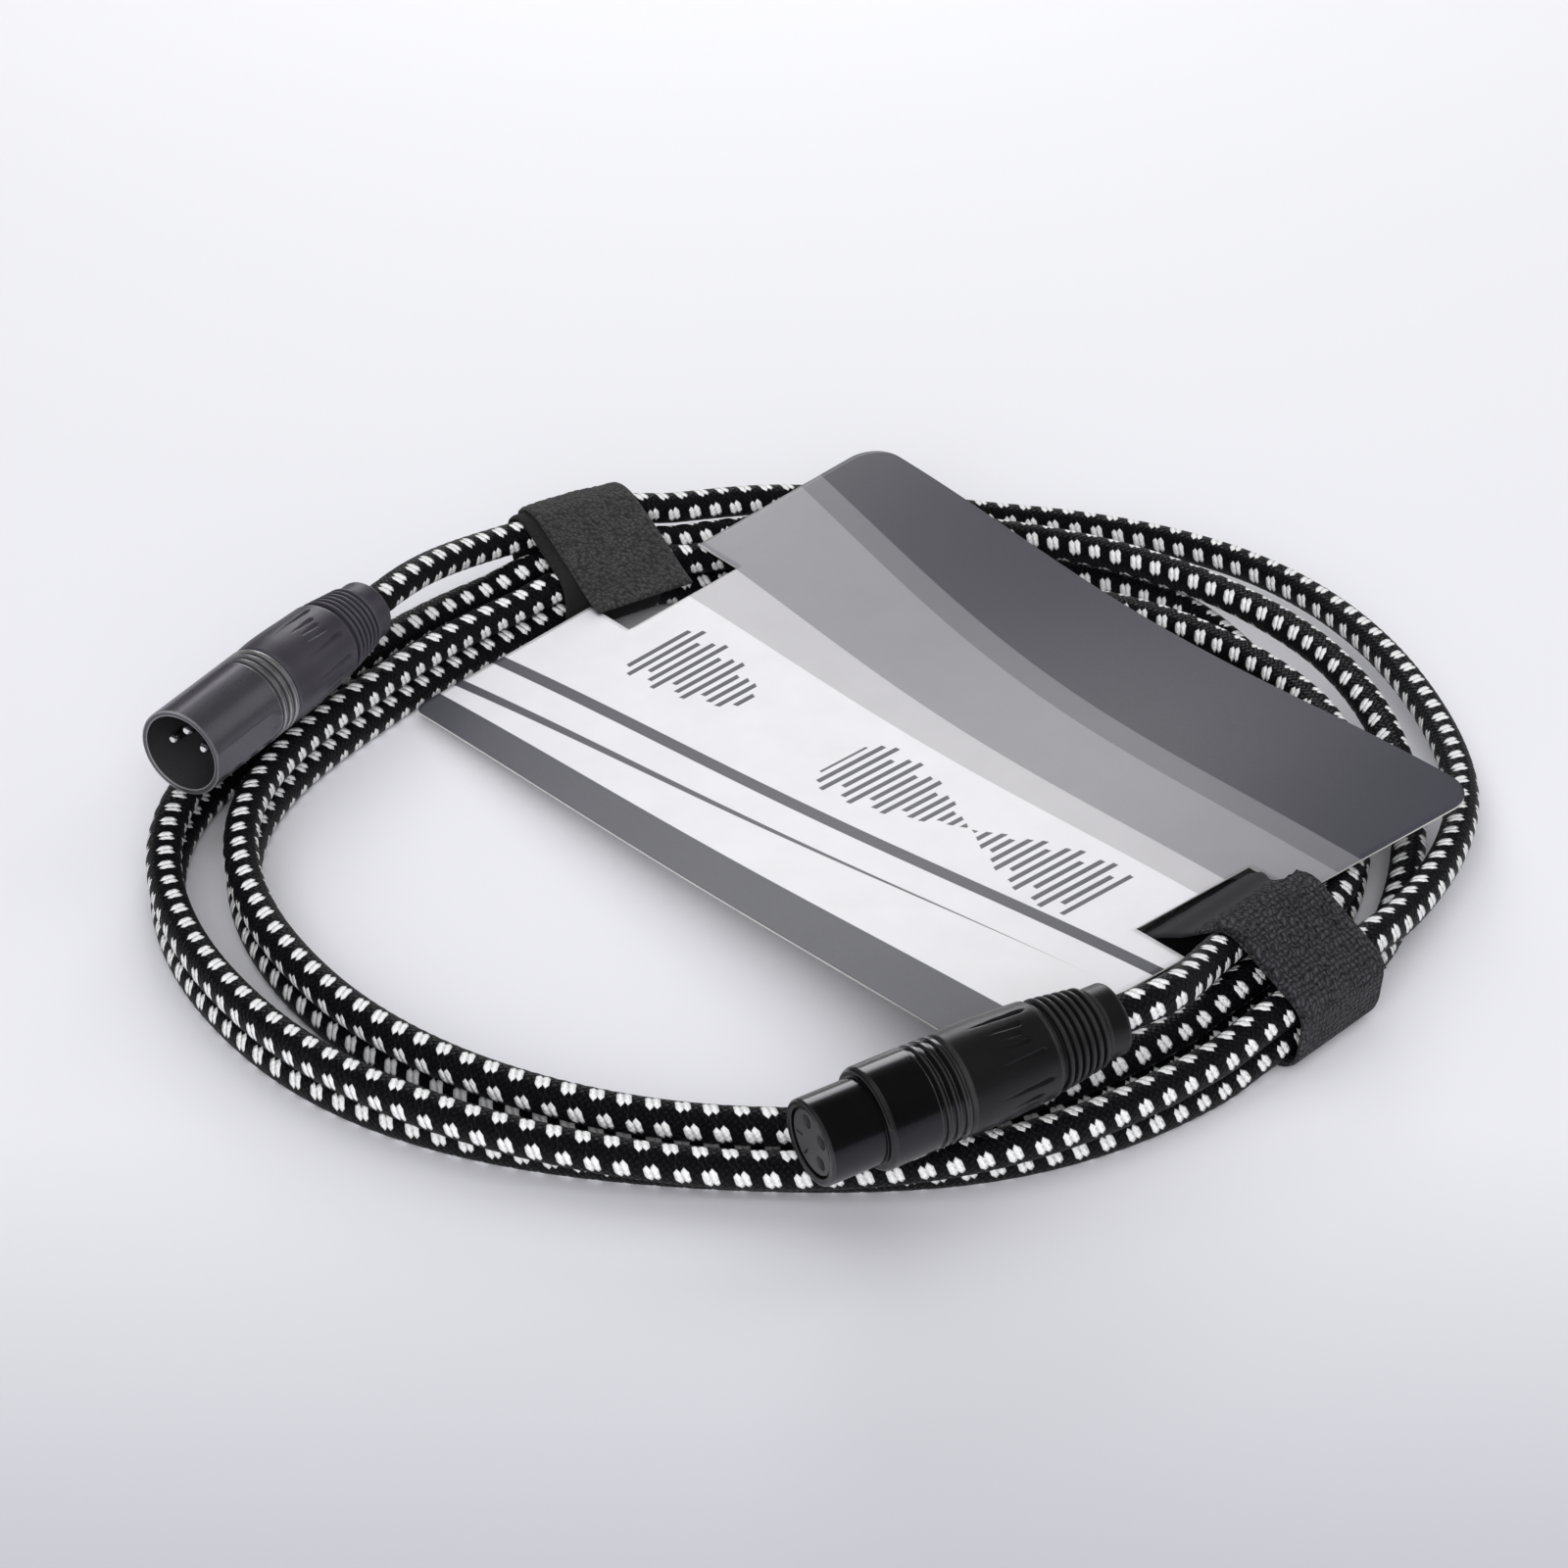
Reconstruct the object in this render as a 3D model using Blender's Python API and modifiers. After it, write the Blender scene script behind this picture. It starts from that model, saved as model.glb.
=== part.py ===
# XLR microphone cable wound into a ring, on a printed hang card, held by two hook-and-loop straps.
# Metres, +Z up.  The coil lies on z = 0 and the whole part's box is centred on the origin.

import math

import bmesh
import bpy
import numpy as np
from mathutils import Matrix, Vector

MM = 0.001
GAP = 0.3 * MM                      # clearance between pieces that touch
FIT = 0.2 * MM                      # clearance of a running or sliding fit

# cable
CABLE_OD = 7.0 * MM
LAYER_PITCH = CABLE_OD + 0.5 * MM   # height from one layer of turns to the next
FLAT_DEPTH = 0.1 * CABLE_OD         # the lowest turns are pressed flat by this much
POINTS_PER_LOOP = 24
WIRE_OD = 1.6 * MM

# ring of turns: radius and column spacing at every 30 degrees, counter-clockwise from +X
RING_CENTRE = (2.4 * MM, 6.5 * MM)
RING_RADII = [v * MM for v in (111.2, 111.0, 109.0, 97.0, 93.0, 91.5, 92.0, 98.5, 117.0, 120.5, 119.9, 117.0)]
COLUMN_PITCHES = [v * MM for v in (10.5, 10.5, 12.5, 19.0, 14.0, 9.8, 10.0, 11.5, 15.0, 14.5, 12.0, 12.0)]
INNER_PITCH = 8.6 * MM              # a turn that drops inside the ring lies this far in
TURNS_START = 4.0                   # angle where the first turn meets the ring
LAST_POINT = 4 * POINTS_PER_LOOP + 12   # the last turn leaves the ring here
POINT_SHIFT = 2.5                   # points are moved back at the left, so each strap lies between two of them
ROLL_FINE = 2                       # half steps where the first turn rolls off the second
ROLL_REACH = 1.16 * CABLE_OD        # distance to that turn while it rolls
TUCK_ANGLE = 315.0                  # the front right, where the lower turns slip inwards
TUCK_SPREAD = 28.0
TUCK_LOWER = 4.5 * MM
TUCK_LOWER_OUTER = 4.1 * MM         # added for the outer column
TUCK_UPPER = 2.2 * MM
TUCK_SAG = 1.8 * MM

# where the turns change column or layer, in degrees counter-clockwise from +X
ROLL_TURNS = (115.0, 195.0)         # the first turn rolls from on top of the second to inside it
ROLL_END = 20.0
FIRST_SETTLES = (95.0, 125.0)
FIRST_SHIFTS = (105.0, 147.0)
SECOND_SINKS = (81.0, 123.0)
THIRD_MOVES_OUT = (57.0, 99.0)
FOURTH_RISES = (33.0, 75.0)
TAIL_MOVES_OUT = (9.0, 51.0)
TAIL_SINKS = (16.0, 58.0)
TAIL_CLIMBS = (118.0, 150.0)
TAIL_SETTLES = (145.0, 168.0)

# connector shells, all measured along the axis from the front face
SHELL_OD = 19.0 * MM
SPIGOT_OD = SHELL_OD - 4.4 * MM     # rear sleeve of a shell, inside the boot
WALL_BORE = SPIGOT_OD - 3.0 * MM    # wire space through the rear of a shell
GROOVE_DEPTH = 0.55 * MM
GROOVE_WIDTH = 0.8 * MM
GROOVE_PITCH = 1.9 * MM
GROOVES = 3
SEGMENTS = 28

NOSE_OD = SHELL_OD - 3.1 * MM
NOSE_LENGTH = 11.0 * MM
FEMALE_BODY_END = 27.0 * MM
FEMALE_LENGTH = 62.0 * MM
FEMALE_BORE = NOSE_OD - 2.3 * MM
FEMALE_INSERT_LENGTH = 17.8 * MM
FEMALE_RECESS = 0.6 * MM            # the insert's face lies this far behind the rim

MALE_BORE = SHELL_OD - 2.4 * MM
MALE_SOCKET_DEPTH = 15.0 * MM
MALE_BODY_END = 27.4 * MM
MALE_LENGTH = 65.0 * MM
MALE_INSERT_FLANGE = 5.6 * MM
MALE_INSERT_LENGTH = 11.6 * MM

# three-pole contact layout, which keeps its share of the shell
PIN_OD = SHELL_OD * 0.1263
PIN_LINE = SHELL_OD * 0.2005        # pins 1 and 2 lie this far either side of the middle
PIN_LINE_RISE = SHELL_OD * 0.0368
PIN_THREE_RISE = SHELL_OD * 0.2037
PIN_TIP = 2.3 * MM                  # from the male rim to the pin tips
CONTACT_OD = PIN_OD + 0.6 * MM
CONTACT_BORE = PIN_OD - 0.1 * MM
CONTACT_SOCKET = 13.0 * MM          # how deep a pin goes into its contact
CONTACT_FRONT = 1.2 * MM            # from the insert's face to the contact's mouth
CUP_LENGTH = 4.0 * MM

# boots
BOOT_OD = SHELL_OD + 0.2 * MM
BOOT_FRONT_OD = SHELL_OD - 0.4 * MM
BOOT_NECK_OD = SHELL_OD - 1.6 * MM
BOOT_TAIL_OD = CABLE_OD + 6.6 * MM
BOOT_RIBS = 6
BOOT_RIB_ZONE = 10.0 * MM
BOOT_COLLAR = 5.0 * MM
RIB_DEPTH = 1.0 * MM
SPIGOT_LENGTH = 9.0 * MM            # how far the shell's sleeve reaches into the boot
CHUCK_LENGTH = 12.0 * MM
CHUCK_OD = SPIGOT_OD - 2.0 * MM
CHUCK_TAIL_OD = CHUCK_OD - 2.2 * MM
CHUCK_TAPER = 4.0 * MM              # length of its narrowing tail
CHUCK_SLOT = 1.2 * MM
GRIP_GROUPS = 4
GRIP_START = 22.0                   # degrees to the middle of the first group
GRIP_LINES = ((-26, 0.62), (-9, 0.3), (9, 0.3), (26, 0.62))   # degrees from the middle, share of the barrel
GRIP_DEPTH = 0.4 * MM
GRIP_WIDTH = 0.9 * MM

# latch of the female connector, in a channel through the top of its body
LATCH_TRAVEL = 0.8 * MM
LATCH_FLOOR = SHELL_OD / 2 - 2.2 * MM   # radius of the channel's floor
LATCH_WIDTH = 8.0 * MM
LATCH_HOOK_WIDTH = 5.0 * MM
LATCH_HOOK = 1.0 * MM               # the hook stands this proud of the nose
LATCH_FRONT = 6.8 * MM
LATCH_REAR = 18.0 * MM
LATCH_CLEAR = 0.1 * MM              # left under the tab when it is pressed

# slits of the female insert and the sunk panel of the male shell
SLIT_LENGTH = 2.4 * MM
SLIT_WIDTH = 0.5 * MM
SLIT_DEPTH = 0.9 * MM
SLIT_SPREAD = 24.0                  # degrees either side of the latch
PANEL_TURN = 186.0
PANEL_DEPTH = 0.5 * MM
PANEL_LENGTH = MALE_BODY_END - 7.3 * MM

# where the connectors lie, on the second layer of turns
CONNECTOR_AXIS = CABLE_OD - FLAT_DEPTH + LAYER_PITCH + SHELL_OD / 2
FEMALE_FACE = Vector((106.3 * MM, -83.7 * MM, CONNECTOR_AXIS - 1.1 * MM))
FEMALE_TAIL = Vector((116.8 * MM, -23.6 * MM, CONNECTOR_AXIS + 1.9 * MM))
FEMALE_ROLL = 56.0
LATCH_TURN = FEMALE_ROLL + 180.0    # the latch is opposite the third contact
MALE_FACE = Vector((-65.8 * MM, -102.1 * MM, CONNECTOR_AXIS + 0.9 * MM))
MALE_TAIL = Vector((-90.1 * MM, -41.1 * MM, CONNECTOR_AXIS + 0.9 * MM))
MALE_ROLL = 0.0

# straps: each lies across the ring at a place and a turn about Z
STRAP_WIDTH = 25.0 * MM
BAND_THICK = 1.2 * MM
FLAP_THICK = 1.5 * MM
RIGHT_STRAP = ((112.0 * MM, 26.5 * MM), 185.0)
LEFT_STRAP = ((-97.0 * MM, 20.8 * MM), -6.0)
RIGHT_STRAP_ANGLE = 10.4            # where the straps cross the ring
LEFT_STRAP_ANGLE = 171.6
STRAP_HALF_ANGLE = 8.0
STRAP_RAMP = 6.0                    # degrees over which a turn climbs onto a strap
TONGUE = (21.5 * MM, 7.4 * MM)      # the right band reaches in to this place beside the turns
# a flap's free tip stands off the band inwards of "inner"; it peels from the outer shoulder above "drop"
RIGHT_FLAP = {"tip": (14.0 * MM, 20.2 * MM), "inner": 12.0 * MM, "drop": 14.0 * MM, "aside": 0.0}
LEFT_FLAP = {"tip": (23.0 * MM, 12.6 * MM), "inner": 13.0 * MM, "drop": 20.0 * MM, "aside": 3.0 * MM}

# hang card
CARD_THICK = 0.5 * MM
CARD_LEFT = -79.5 * MM
CARD_WIDTH = 183.4 * MM
CARD_NEAR = -38.1 * MM
CARD_DEPTH = 133.1 * MM
CARD_CORNERS = (2.6 * MM, 15.0 * MM, 16.6 * MM, 23.2 * MM)   # heights: near left, near right, far right, far left
CARD_SAG = 4.5 * MM                 # the far edge dips this much in its middle
NOTCH_START = 10.4 * MM
NOTCH_WIDTH = 31.0 * MM
NOTCH_LEFT = 14.0 * MM
NOTCH_RIGHT = 12.9 * MM
CARD_FAR_RADIUS = 8.0 * MM
CARD_NEAR_RADIUS = 3.0 * MM


def smooth(value):
    value = min(max(value, 0.0), 1.0)
    return value * value * (3.0 - 2.0 * value)


def window(angle, start, end):
    return smooth((angle - start) / (end - start))


def around_ring(values, angle):
    # periodic Catmull-Rom curve through values given at equal steps of the circle
    count = len(values)
    place = (angle % 360.0) / 360.0 * count
    index = int(place)
    part = place - index
    a, b, c, d = (values[(index + k) % count] for k in (-1, 0, 1, 2))
    return 0.5 * (2 * b + (c - a) * part + (2 * a - 5 * b + 4 * c - d) * part ** 2
                  + (3 * b - 3 * c + d - a) * part ** 3)


def angle_between(first, second):
    return abs((first - second + 180.0) % 360.0 - 180.0)


def strap_lift(angle, strap_angle):
    # the turns rise over the strap that passes under them
    rise = BAND_THICK + GAP + FLAT_DEPTH
    return rise * smooth((STRAP_HALF_ANGLE + STRAP_RAMP - angle_between(angle, strap_angle)) / STRAP_RAMP)


def lane(turn_angle):
    # column and layer of the cable at an angle that grows by 360 with each turn:
    # it starts on top at the right strap, rolls down inside the ring, and winds outwards
    # over four turns before its tail climbs at the back left to the male connector
    turn = int(turn_angle // 360.0)
    angle = turn_angle - 360.0 * turn
    if turn == 0:
        start, end = ROLL_TURNS
        roll = math.radians(start + (end - start) * window(angle, TURNS_START, ROLL_END))
        column = ROLL_REACH * math.cos(roll) / INNER_PITCH
        layer = 1.0 + ROLL_REACH * math.sin(roll) / LAYER_PITCH
        return (column * (1.0 - window(angle, *FIRST_SHIFTS)),
                layer + (1.0 - layer) * window(angle, *FIRST_SETTLES))
    if turn == 1:
        return 0.0, 1.0 - window(angle, *SECOND_SINKS)
    if turn == 2:
        return window(angle, *THIRD_MOVES_OUT), 0.0
    if turn == 3:
        return 1.0, window(angle, *FOURTH_RISES)
    climb = window(angle, *TAIL_CLIMBS)
    settle = window(angle, *TAIL_SETTLES)
    column = 1.0 + window(angle, *TAIL_MOVES_OUT) - 0.30 * climb - 0.26 * settle
    layer = 1.0 - 0.45 * window(angle, *TAIL_SINKS) + 1.03 * climb + 0.32 * settle
    return column, layer


def ring_place(column, layer, turn_angle):
    # the middles of the straight pieces, and not their ends, lie on the real turn
    angle = turn_angle % 360.0
    tuck = math.exp(-(angle_between(angle, TUCK_ANGLE) / TUCK_SPREAD) ** 2)
    pitch = around_ring(COLUMN_PITCHES, angle) if column > 0 else INNER_PITCH
    outer = min(max(column, 0.0), 1.0)
    lower = 1.0 - min(max(layer, 0.0), 1.0)
    radius = around_ring(RING_RADII, angle) + column * pitch
    radius -= tuck * lower * (TUCK_LOWER + TUCK_LOWER_OUTER * outer)
    radius -= tuck ** 2 * (1.0 - lower) * outer * TUCK_UPPER
    radius /= math.cos(math.pi / POINTS_PER_LOOP)
    height = CABLE_OD / 2 - FLAT_DEPTH + layer * LAYER_PITCH
    height -= tuck ** 2 * (1.0 - lower) * outer * TUCK_SAG
    height += strap_lift(angle, RIGHT_STRAP_ANGLE) + strap_lift(angle, LEFT_STRAP_ANGLE)
    turn = math.radians(turn_angle)
    return Vector((RING_CENTRE[0] + radius * math.cos(turn), RING_CENTRE[1] + radius * math.sin(turn), height))


def ring_point(turn_angle):
    return ring_place(*lane(turn_angle), turn_angle)


def point_angle(index):
    angle = TURNS_START + index * 360.0 / POINTS_PER_LOOP
    return angle - POINT_SHIFT * (1.0 - math.cos(math.radians(angle - RIGHT_STRAP_ANGLE)))


def between_points(index):
    # a point halfway between two others, drawn in as the chord of the turn under it is
    before, after = point_angle(index), point_angle(index + 1)
    middle = (before + after) / 2
    under = [ring_place(0.0, 1.0, angle) for angle in (before, middle, after)]
    return ring_point(middle) + (under[0] + under[2]) / 2 - under[1]


def bridge(start, start_way, end, end_way, count):
    # cubic between two points that keeps both directions
    reach = (end - start).length
    points = []
    for index in range(1, count):
        t = index / count
        points.append(start * (2 * t ** 3 - 3 * t ** 2 + 1) + start_way * reach * (t ** 3 - 2 * t ** 2 + t)
                      + end * (3 * t ** 2 - 2 * t ** 3) + end_way * reach * (t ** 3 - t ** 2))
    return points


def latch_way():
    # the direction in which the latch is pressed
    turn = math.radians(LATCH_TURN)
    return frame_turn(FEMALE_FACE, FEMALE_TAIL) @ Vector((math.sin(turn), -math.cos(turn), 0.0))


FEMALE_WAY = (FEMALE_TAIL - FEMALE_FACE).normalized()
MALE_WAY = (MALE_TAIL - MALE_FACE).normalized()
CHUCK_FRONT_FEMALE = FEMALE_BODY_END + GAP + SPIGOT_LENGTH + GAP
CHUCK_FRONT_MALE = MALE_BODY_END + GAP + SPIGOT_LENGTH + GAP
CABLE_START_FEMALE = CHUCK_FRONT_FEMALE + 2.0 * MM
CABLE_START_MALE = CHUCK_FRONT_MALE + 2.0 * MM


def cable_route():
    straight = 1.2 * CABLE_OD
    first = FEMALE_FACE + FEMALE_WAY * CABLE_START_FEMALE
    leave = FEMALE_TAIL + FEMALE_WAY * straight
    last = MALE_FACE + MALE_WAY * CABLE_START_MALE
    arrive = MALE_TAIL + MALE_WAY * straight
    start, end = point_angle(0), point_angle(LAST_POINT)
    join, part = ring_point(start), ring_point(end)
    join_way = (ring_point(start + 2.0) - join).normalized()
    part_way = (part - ring_point(end - 2.0)).normalized()
    points = [first, FEMALE_TAIL, leave]
    points += bridge(leave, FEMALE_WAY, join, join_way, 4)
    for index in range(LAST_POINT):
        points.append(ring_point(point_angle(index)))
        if index < ROLL_FINE:
            points.append(between_points(index))
    points.append(part)
    points += bridge(part, part_way, arrive, -MALE_WAY, 4)
    points += [arrive, MALE_TAIL, last]
    return points


def least_gap(points):
    # centre-line samples that are more than three diameters apart along the cable
    fine = []
    for a, b in zip(points, points[1:]):
        count = max(1, math.ceil((b - a).length / MM))
        fine += [a.lerp(b, k / count) for k in range(count)]
    place = np.array([tuple(p) for p in fine])
    along = np.concatenate(([0.0], np.cumsum(np.linalg.norm(np.diff(place, axis=0), axis=1))))
    least = 1.0
    for index in range(len(place)):
        others = along > along[index] + 3 * CABLE_OD
        if others.any():
            least = min(least, float(np.linalg.norm(place[others] - place[index], axis=1).min()))
    return least - CABLE_OD, float(along[-1])


# building blocks

def clear_scene():
    for item in list(bpy.data.objects):
        bpy.data.objects.remove(item, do_unlink=True)


def new_collection(name):
    made = bpy.data.collections.new(name)
    bpy.context.scene.collection.children.link(made)
    return made


def finish(name, colour, roughness, metallic=0.0):
    made = bpy.data.materials.new(name)
    made.use_nodes = True
    shader = made.node_tree.nodes["Principled BSDF"]
    shader.inputs["Base Color"].default_value = (*colour, 1.0)
    shader.inputs["Roughness"].default_value = roughness
    shader.inputs["Metallic"].default_value = metallic
    return made


def add(name, data, material, parent, collection):
    item = bpy.data.objects.new(name, data)
    collection.objects.link(item)
    item.parent = parent
    if material is not None:
        data.materials.append(material)
    return item


def empty(name, location, collection, turn=None):
    item = bpy.data.objects.new(name, None)
    item.empty_display_size = 10 * MM
    if turn is not None:
        item.matrix_world = Matrix.Translation(location) @ turn.to_4x4()
    else:
        item.location = location
    collection.objects.link(item)
    return item


def shade(item, angle=35.0):
    item.data.shade_smooth()
    item.data.set_sharp_from_angle(angle=math.radians(angle))


def as_mesh(item, name, material, parent, collection):
    # the evaluated shape of an object as a plain mesh of its own, with welded caps
    bpy.context.view_layer.update()
    graph = bpy.context.evaluated_depsgraph_get()
    mesh = bpy.data.meshes.new_from_object(item.evaluated_get(graph))
    world = item.matrix_world.copy()
    work = bmesh.new()
    work.from_mesh(mesh)
    bmesh.ops.remove_doubles(work, verts=work.verts, dist=1e-6)
    work.to_mesh(mesh)
    work.free()
    mesh.materials.clear()
    bpy.data.objects.remove(item, do_unlink=True)
    made = add(name, mesh, material, parent, collection)
    made.matrix_world = world
    return made


def turned(name, profile, material, parent, collection, segments=SEGMENTS):
    # a closed outline of (radius, height), down its outer side, turned about Z;
    # an outline whose ends lie on the axis stays open there
    mesh = bpy.data.meshes.new(name)
    on_axis = profile[0][0] == 0.0 and profile[-1][0] == 0.0
    edges = [(k, k + 1) for k in range(len(profile) - 1)]
    if not on_axis:
        edges.append((len(profile) - 1, 0))
    mesh.from_pydata([(r, 0.0, z) for r, z in profile], edges, [])
    item = add(name, mesh, material, parent, collection)
    screw = item.modifiers.new("turn", "SCREW")
    screw.axis = "Z"
    screw.angle = 2 * math.pi
    screw.steps = segments
    screw.render_steps = segments
    screw.use_merge_vertices = True
    screw.merge_threshold = 1e-6
    screw.use_smooth_shade = True
    return item


def hide_cutter(item):
    item.hide_render = True
    item.display_type = "WIRE"
    return item


def cut(item, cutter, operation="DIFFERENCE"):
    change = item.modifiers.new(operation.lower(), "BOOLEAN")
    change.operation = operation
    change.object = cutter
    change.solver = "EXACT"


def bars(name, boxes, parent, collection):
    # separate boxes in one cutter, each given as centre, size and turn about Z
    mesh = bpy.data.meshes.new(name)
    work = bmesh.new()
    for centre, size, turn in boxes:
        place = Matrix.Rotation(turn, 4, "Z") @ Matrix.Translation(centre) @ Matrix.Diagonal((*size, 1.0))
        bmesh.ops.create_cube(work, size=1.0, matrix=place)
    work.to_mesh(mesh)
    work.free()
    return hide_cutter(add(name, mesh, None, parent, collection))


def rods(name, places, radius, start, end, parent, collection, sides=16):
    # parallel cylinders along Z in one cutter
    mesh = bpy.data.meshes.new(name)
    work = bmesh.new()
    for x, y in places:
        spot = Matrix.Translation((x, y, (start + end) / 2))
        bmesh.ops.create_cone(work, cap_ends=True, segments=sides, radius1=radius, radius2=radius,
                              depth=end - start, matrix=spot)
    work.to_mesh(mesh)
    work.free()
    return hide_cutter(add(name, mesh, None, parent, collection))


def tube(name, points, diameter, resolution, material, parent, collection):
    data = bpy.data.curves.new(name, "CURVE")
    data.dimensions = "3D"
    data.bevel_depth = diameter / 2
    data.bevel_resolution = resolution
    data.use_fill_caps = True
    spline = data.splines.new("POLY")
    spline.points.add(len(points) - 1)
    for spot, point in zip(spline.points, points):
        spot.co = (*point, 1.0)
    spline.use_smooth = True
    return add(name, data, material, parent, collection)


# connectors

def frame_turn(face, tail):
    # local Z runs from the front face to the tail, local Y points up
    way = (tail - face).normalized()
    up = (Vector((0, 0, 1)) - way * way.z).normalized()
    side = up.cross(way)
    return Matrix((side, up, way)).transposed()


def pin_places(roll, mirror):
    turn = math.radians(roll)
    flat = [(-PIN_LINE, PIN_LINE_RISE), (PIN_LINE, PIN_LINE_RISE), (0.0, PIN_THREE_RISE)]
    return [(mirror * x * math.cos(turn) - y * math.sin(turn), mirror * x * math.sin(turn) + y * math.cos(turn))
            for x, y in flat]


def grooved(radius, first):
    # outline of the shallow rings round a shell, from front to back
    outline = []
    for index in range(GROOVES):
        z = first + index * GROOVE_PITCH
        outline += [(radius, z), (radius - GROOVE_DEPTH, z + 0.2 * MM),
                    (radius - GROOVE_DEPTH, z + GROOVE_WIDTH), (radius, z + GROOVE_WIDTH + 0.2 * MM)]
    return outline


def groove_start(body_end):
    return body_end - 1.0 * MM - (GROOVES - 1) * GROOVE_PITCH - GROOVE_WIDTH - 0.2 * MM


def rear_of_shell(body_end):
    # outer side from the body's end to the sleeve, then back along the bore
    radius = SHELL_OD / 2
    sleeve = SPIGOT_OD / 2
    end = body_end + SPIGOT_LENGTH
    return [(radius, body_end - 0.3 * MM), (radius - 0.3 * MM, body_end), (sleeve, body_end), (sleeve, end),
            (WALL_BORE / 2, end)]


def female_shell(kit):
    radius = SHELL_OD / 2
    nose = NOSE_OD / 2
    bore = FEMALE_BORE / 2
    seat = FEMALE_RECESS + FEMALE_INSERT_LENGTH + GAP
    front = [(bore, 0.0), (nose - 0.5 * MM, 0.0), (nose, 0.5 * MM), (nose, NOSE_LENGTH),
             (radius - 0.6 * MM, NOSE_LENGTH), (radius, NOSE_LENGTH + 0.6 * MM)]
    profile = front + grooved(radius, groove_start(FEMALE_BODY_END)) + rear_of_shell(FEMALE_BODY_END)
    profile += [(WALL_BORE / 2, seat), (bore, seat)]
    shell = turned("female_shell", profile[::-1], kit["shell"], kit["female"], kit["parts"])
    height = SHELL_OD
    middle = LATCH_FLOOR + height / 2
    turn = math.radians(LATCH_TURN)
    hook_end = NOSE_LENGTH + MM
    body = ((0, middle, (LATCH_REAR + NOSE_LENGTH) / 2),
            (LATCH_WIDTH + 2 * GAP, height, LATCH_REAR - NOSE_LENGTH + 2 * GAP), turn)
    nose_slot = ((0, middle, (LATCH_FRONT - GAP + hook_end) / 2),
                 (LATCH_HOOK_WIDTH + 2 * GAP, height, hook_end - LATCH_FRONT + GAP), turn)
    cut(shell, bars("latch_channel_body", [body], kit["female"], kit["cutters"]))
    cut(shell, bars("latch_channel_nose", [nose_slot], kit["female"], kit["cutters"]))
    return shell


def female_latch(kit):
    # press tab with a raised hook in front, one stamped piece with its spring bend under the tab
    low = LATCH_FLOOR + LATCH_TRAVEL + LATCH_CLEAR
    tab_top = SHELL_OD / 2 - 0.35 * MM
    hook_top = NOSE_OD / 2 + LATCH_HOOK
    outline = [(low, LATCH_FRONT), (hook_top - 0.5 * MM, LATCH_FRONT), (hook_top, LATCH_FRONT + 1.2 * MM),
               (hook_top, NOSE_LENGTH - 0.4 * MM), (tab_top, NOSE_LENGTH + MM),
               (tab_top + 0.2 * MM, (NOSE_LENGTH + LATCH_REAR) / 2), (tab_top, LATCH_REAR - 0.6 * MM),
               (tab_top - 0.6 * MM, LATCH_REAR), (low, LATCH_REAR)]
    turn = math.radians(LATCH_TURN)
    latch = plate("female_latch", outline, LATCH_WIDTH, kit["steel"], kit["female"], kit["parts"])
    latch.rotation_euler.z = turn
    wide = (LATCH_WIDTH - LATCH_HOOK_WIDTH) / 2 + GAP
    spot = LATCH_HOOK_WIDTH / 2 + wide / 2
    length = NOSE_LENGTH - LATCH_FRONT + 2 * GAP
    sides = [((way * spot, 0.0, LATCH_FRONT - GAP + length / 2), (wide, 3 * SHELL_OD, length), turn)
             for way in (-1, 1)]
    cut(latch, bars("latch_sides", sides, kit["female"], kit["cutters"]))
    return latch


def plate(name, outline, width, material, parent, collection):
    # an outline of (radius, height) spread to both sides of the middle plane
    mesh = bpy.data.meshes.new(name)
    work = bmesh.new()
    side = [work.verts.new((-width / 2, r, z)) for r, z in outline]
    face = work.faces.new(side)
    grown = bmesh.ops.extrude_face_region(work, geom=[face])
    moved = [v for v in grown["geom"] if isinstance(v, bmesh.types.BMVert)]
    bmesh.ops.translate(work, verts=moved, vec=(width, 0, 0))
    bmesh.ops.recalc_face_normals(work, faces=work.faces)
    work.to_mesh(mesh)
    work.free()
    return add(name, mesh, material, parent, collection)


def female_insert(kit):
    radius = FEMALE_BORE / 2 - GAP
    start = FEMALE_RECESS
    end = start + FEMALE_INSERT_LENGTH
    profile = [(0.0, end), (radius, end), (radius, start + 0.8 * MM), (radius - 0.45 * MM, start + 0.8 * MM),
               (radius - 0.45 * MM, start), (0.0, start)]
    insert = turned("female_insert", profile, kit["moulding"], kit["female"], kit["parts"])
    places = pin_places(FEMALE_ROLL, -1)
    mouth = start + CONTACT_FRONT - GAP
    holes = rods("contact_mouths", places, PIN_OD / 2 + FIT, start - MM, mouth + 0.5 * MM,
                 kit["female"], kit["cutters"], 12)
    seats = rods("contact_seats", places, CONTACT_OD / 2 + GAP, mouth, end + MM,
                 kit["female"], kit["cutters"], 12)
    cut(insert, holes)
    cut(insert, seats)
    reach = radius - SLIT_LENGTH / 2 - 0.9 * MM
    slits = [((0.0, reach, start + SLIT_DEPTH / 2 - MM / 2), (SLIT_WIDTH, SLIT_LENGTH, SLIT_DEPTH + MM),
              math.radians(LATCH_TURN + side * SLIT_SPREAD)) for side in (-1, 1)]
    cut(insert, bars("insert_slits", slits, kit["female"], kit["cutters"]))
    return insert


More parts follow.
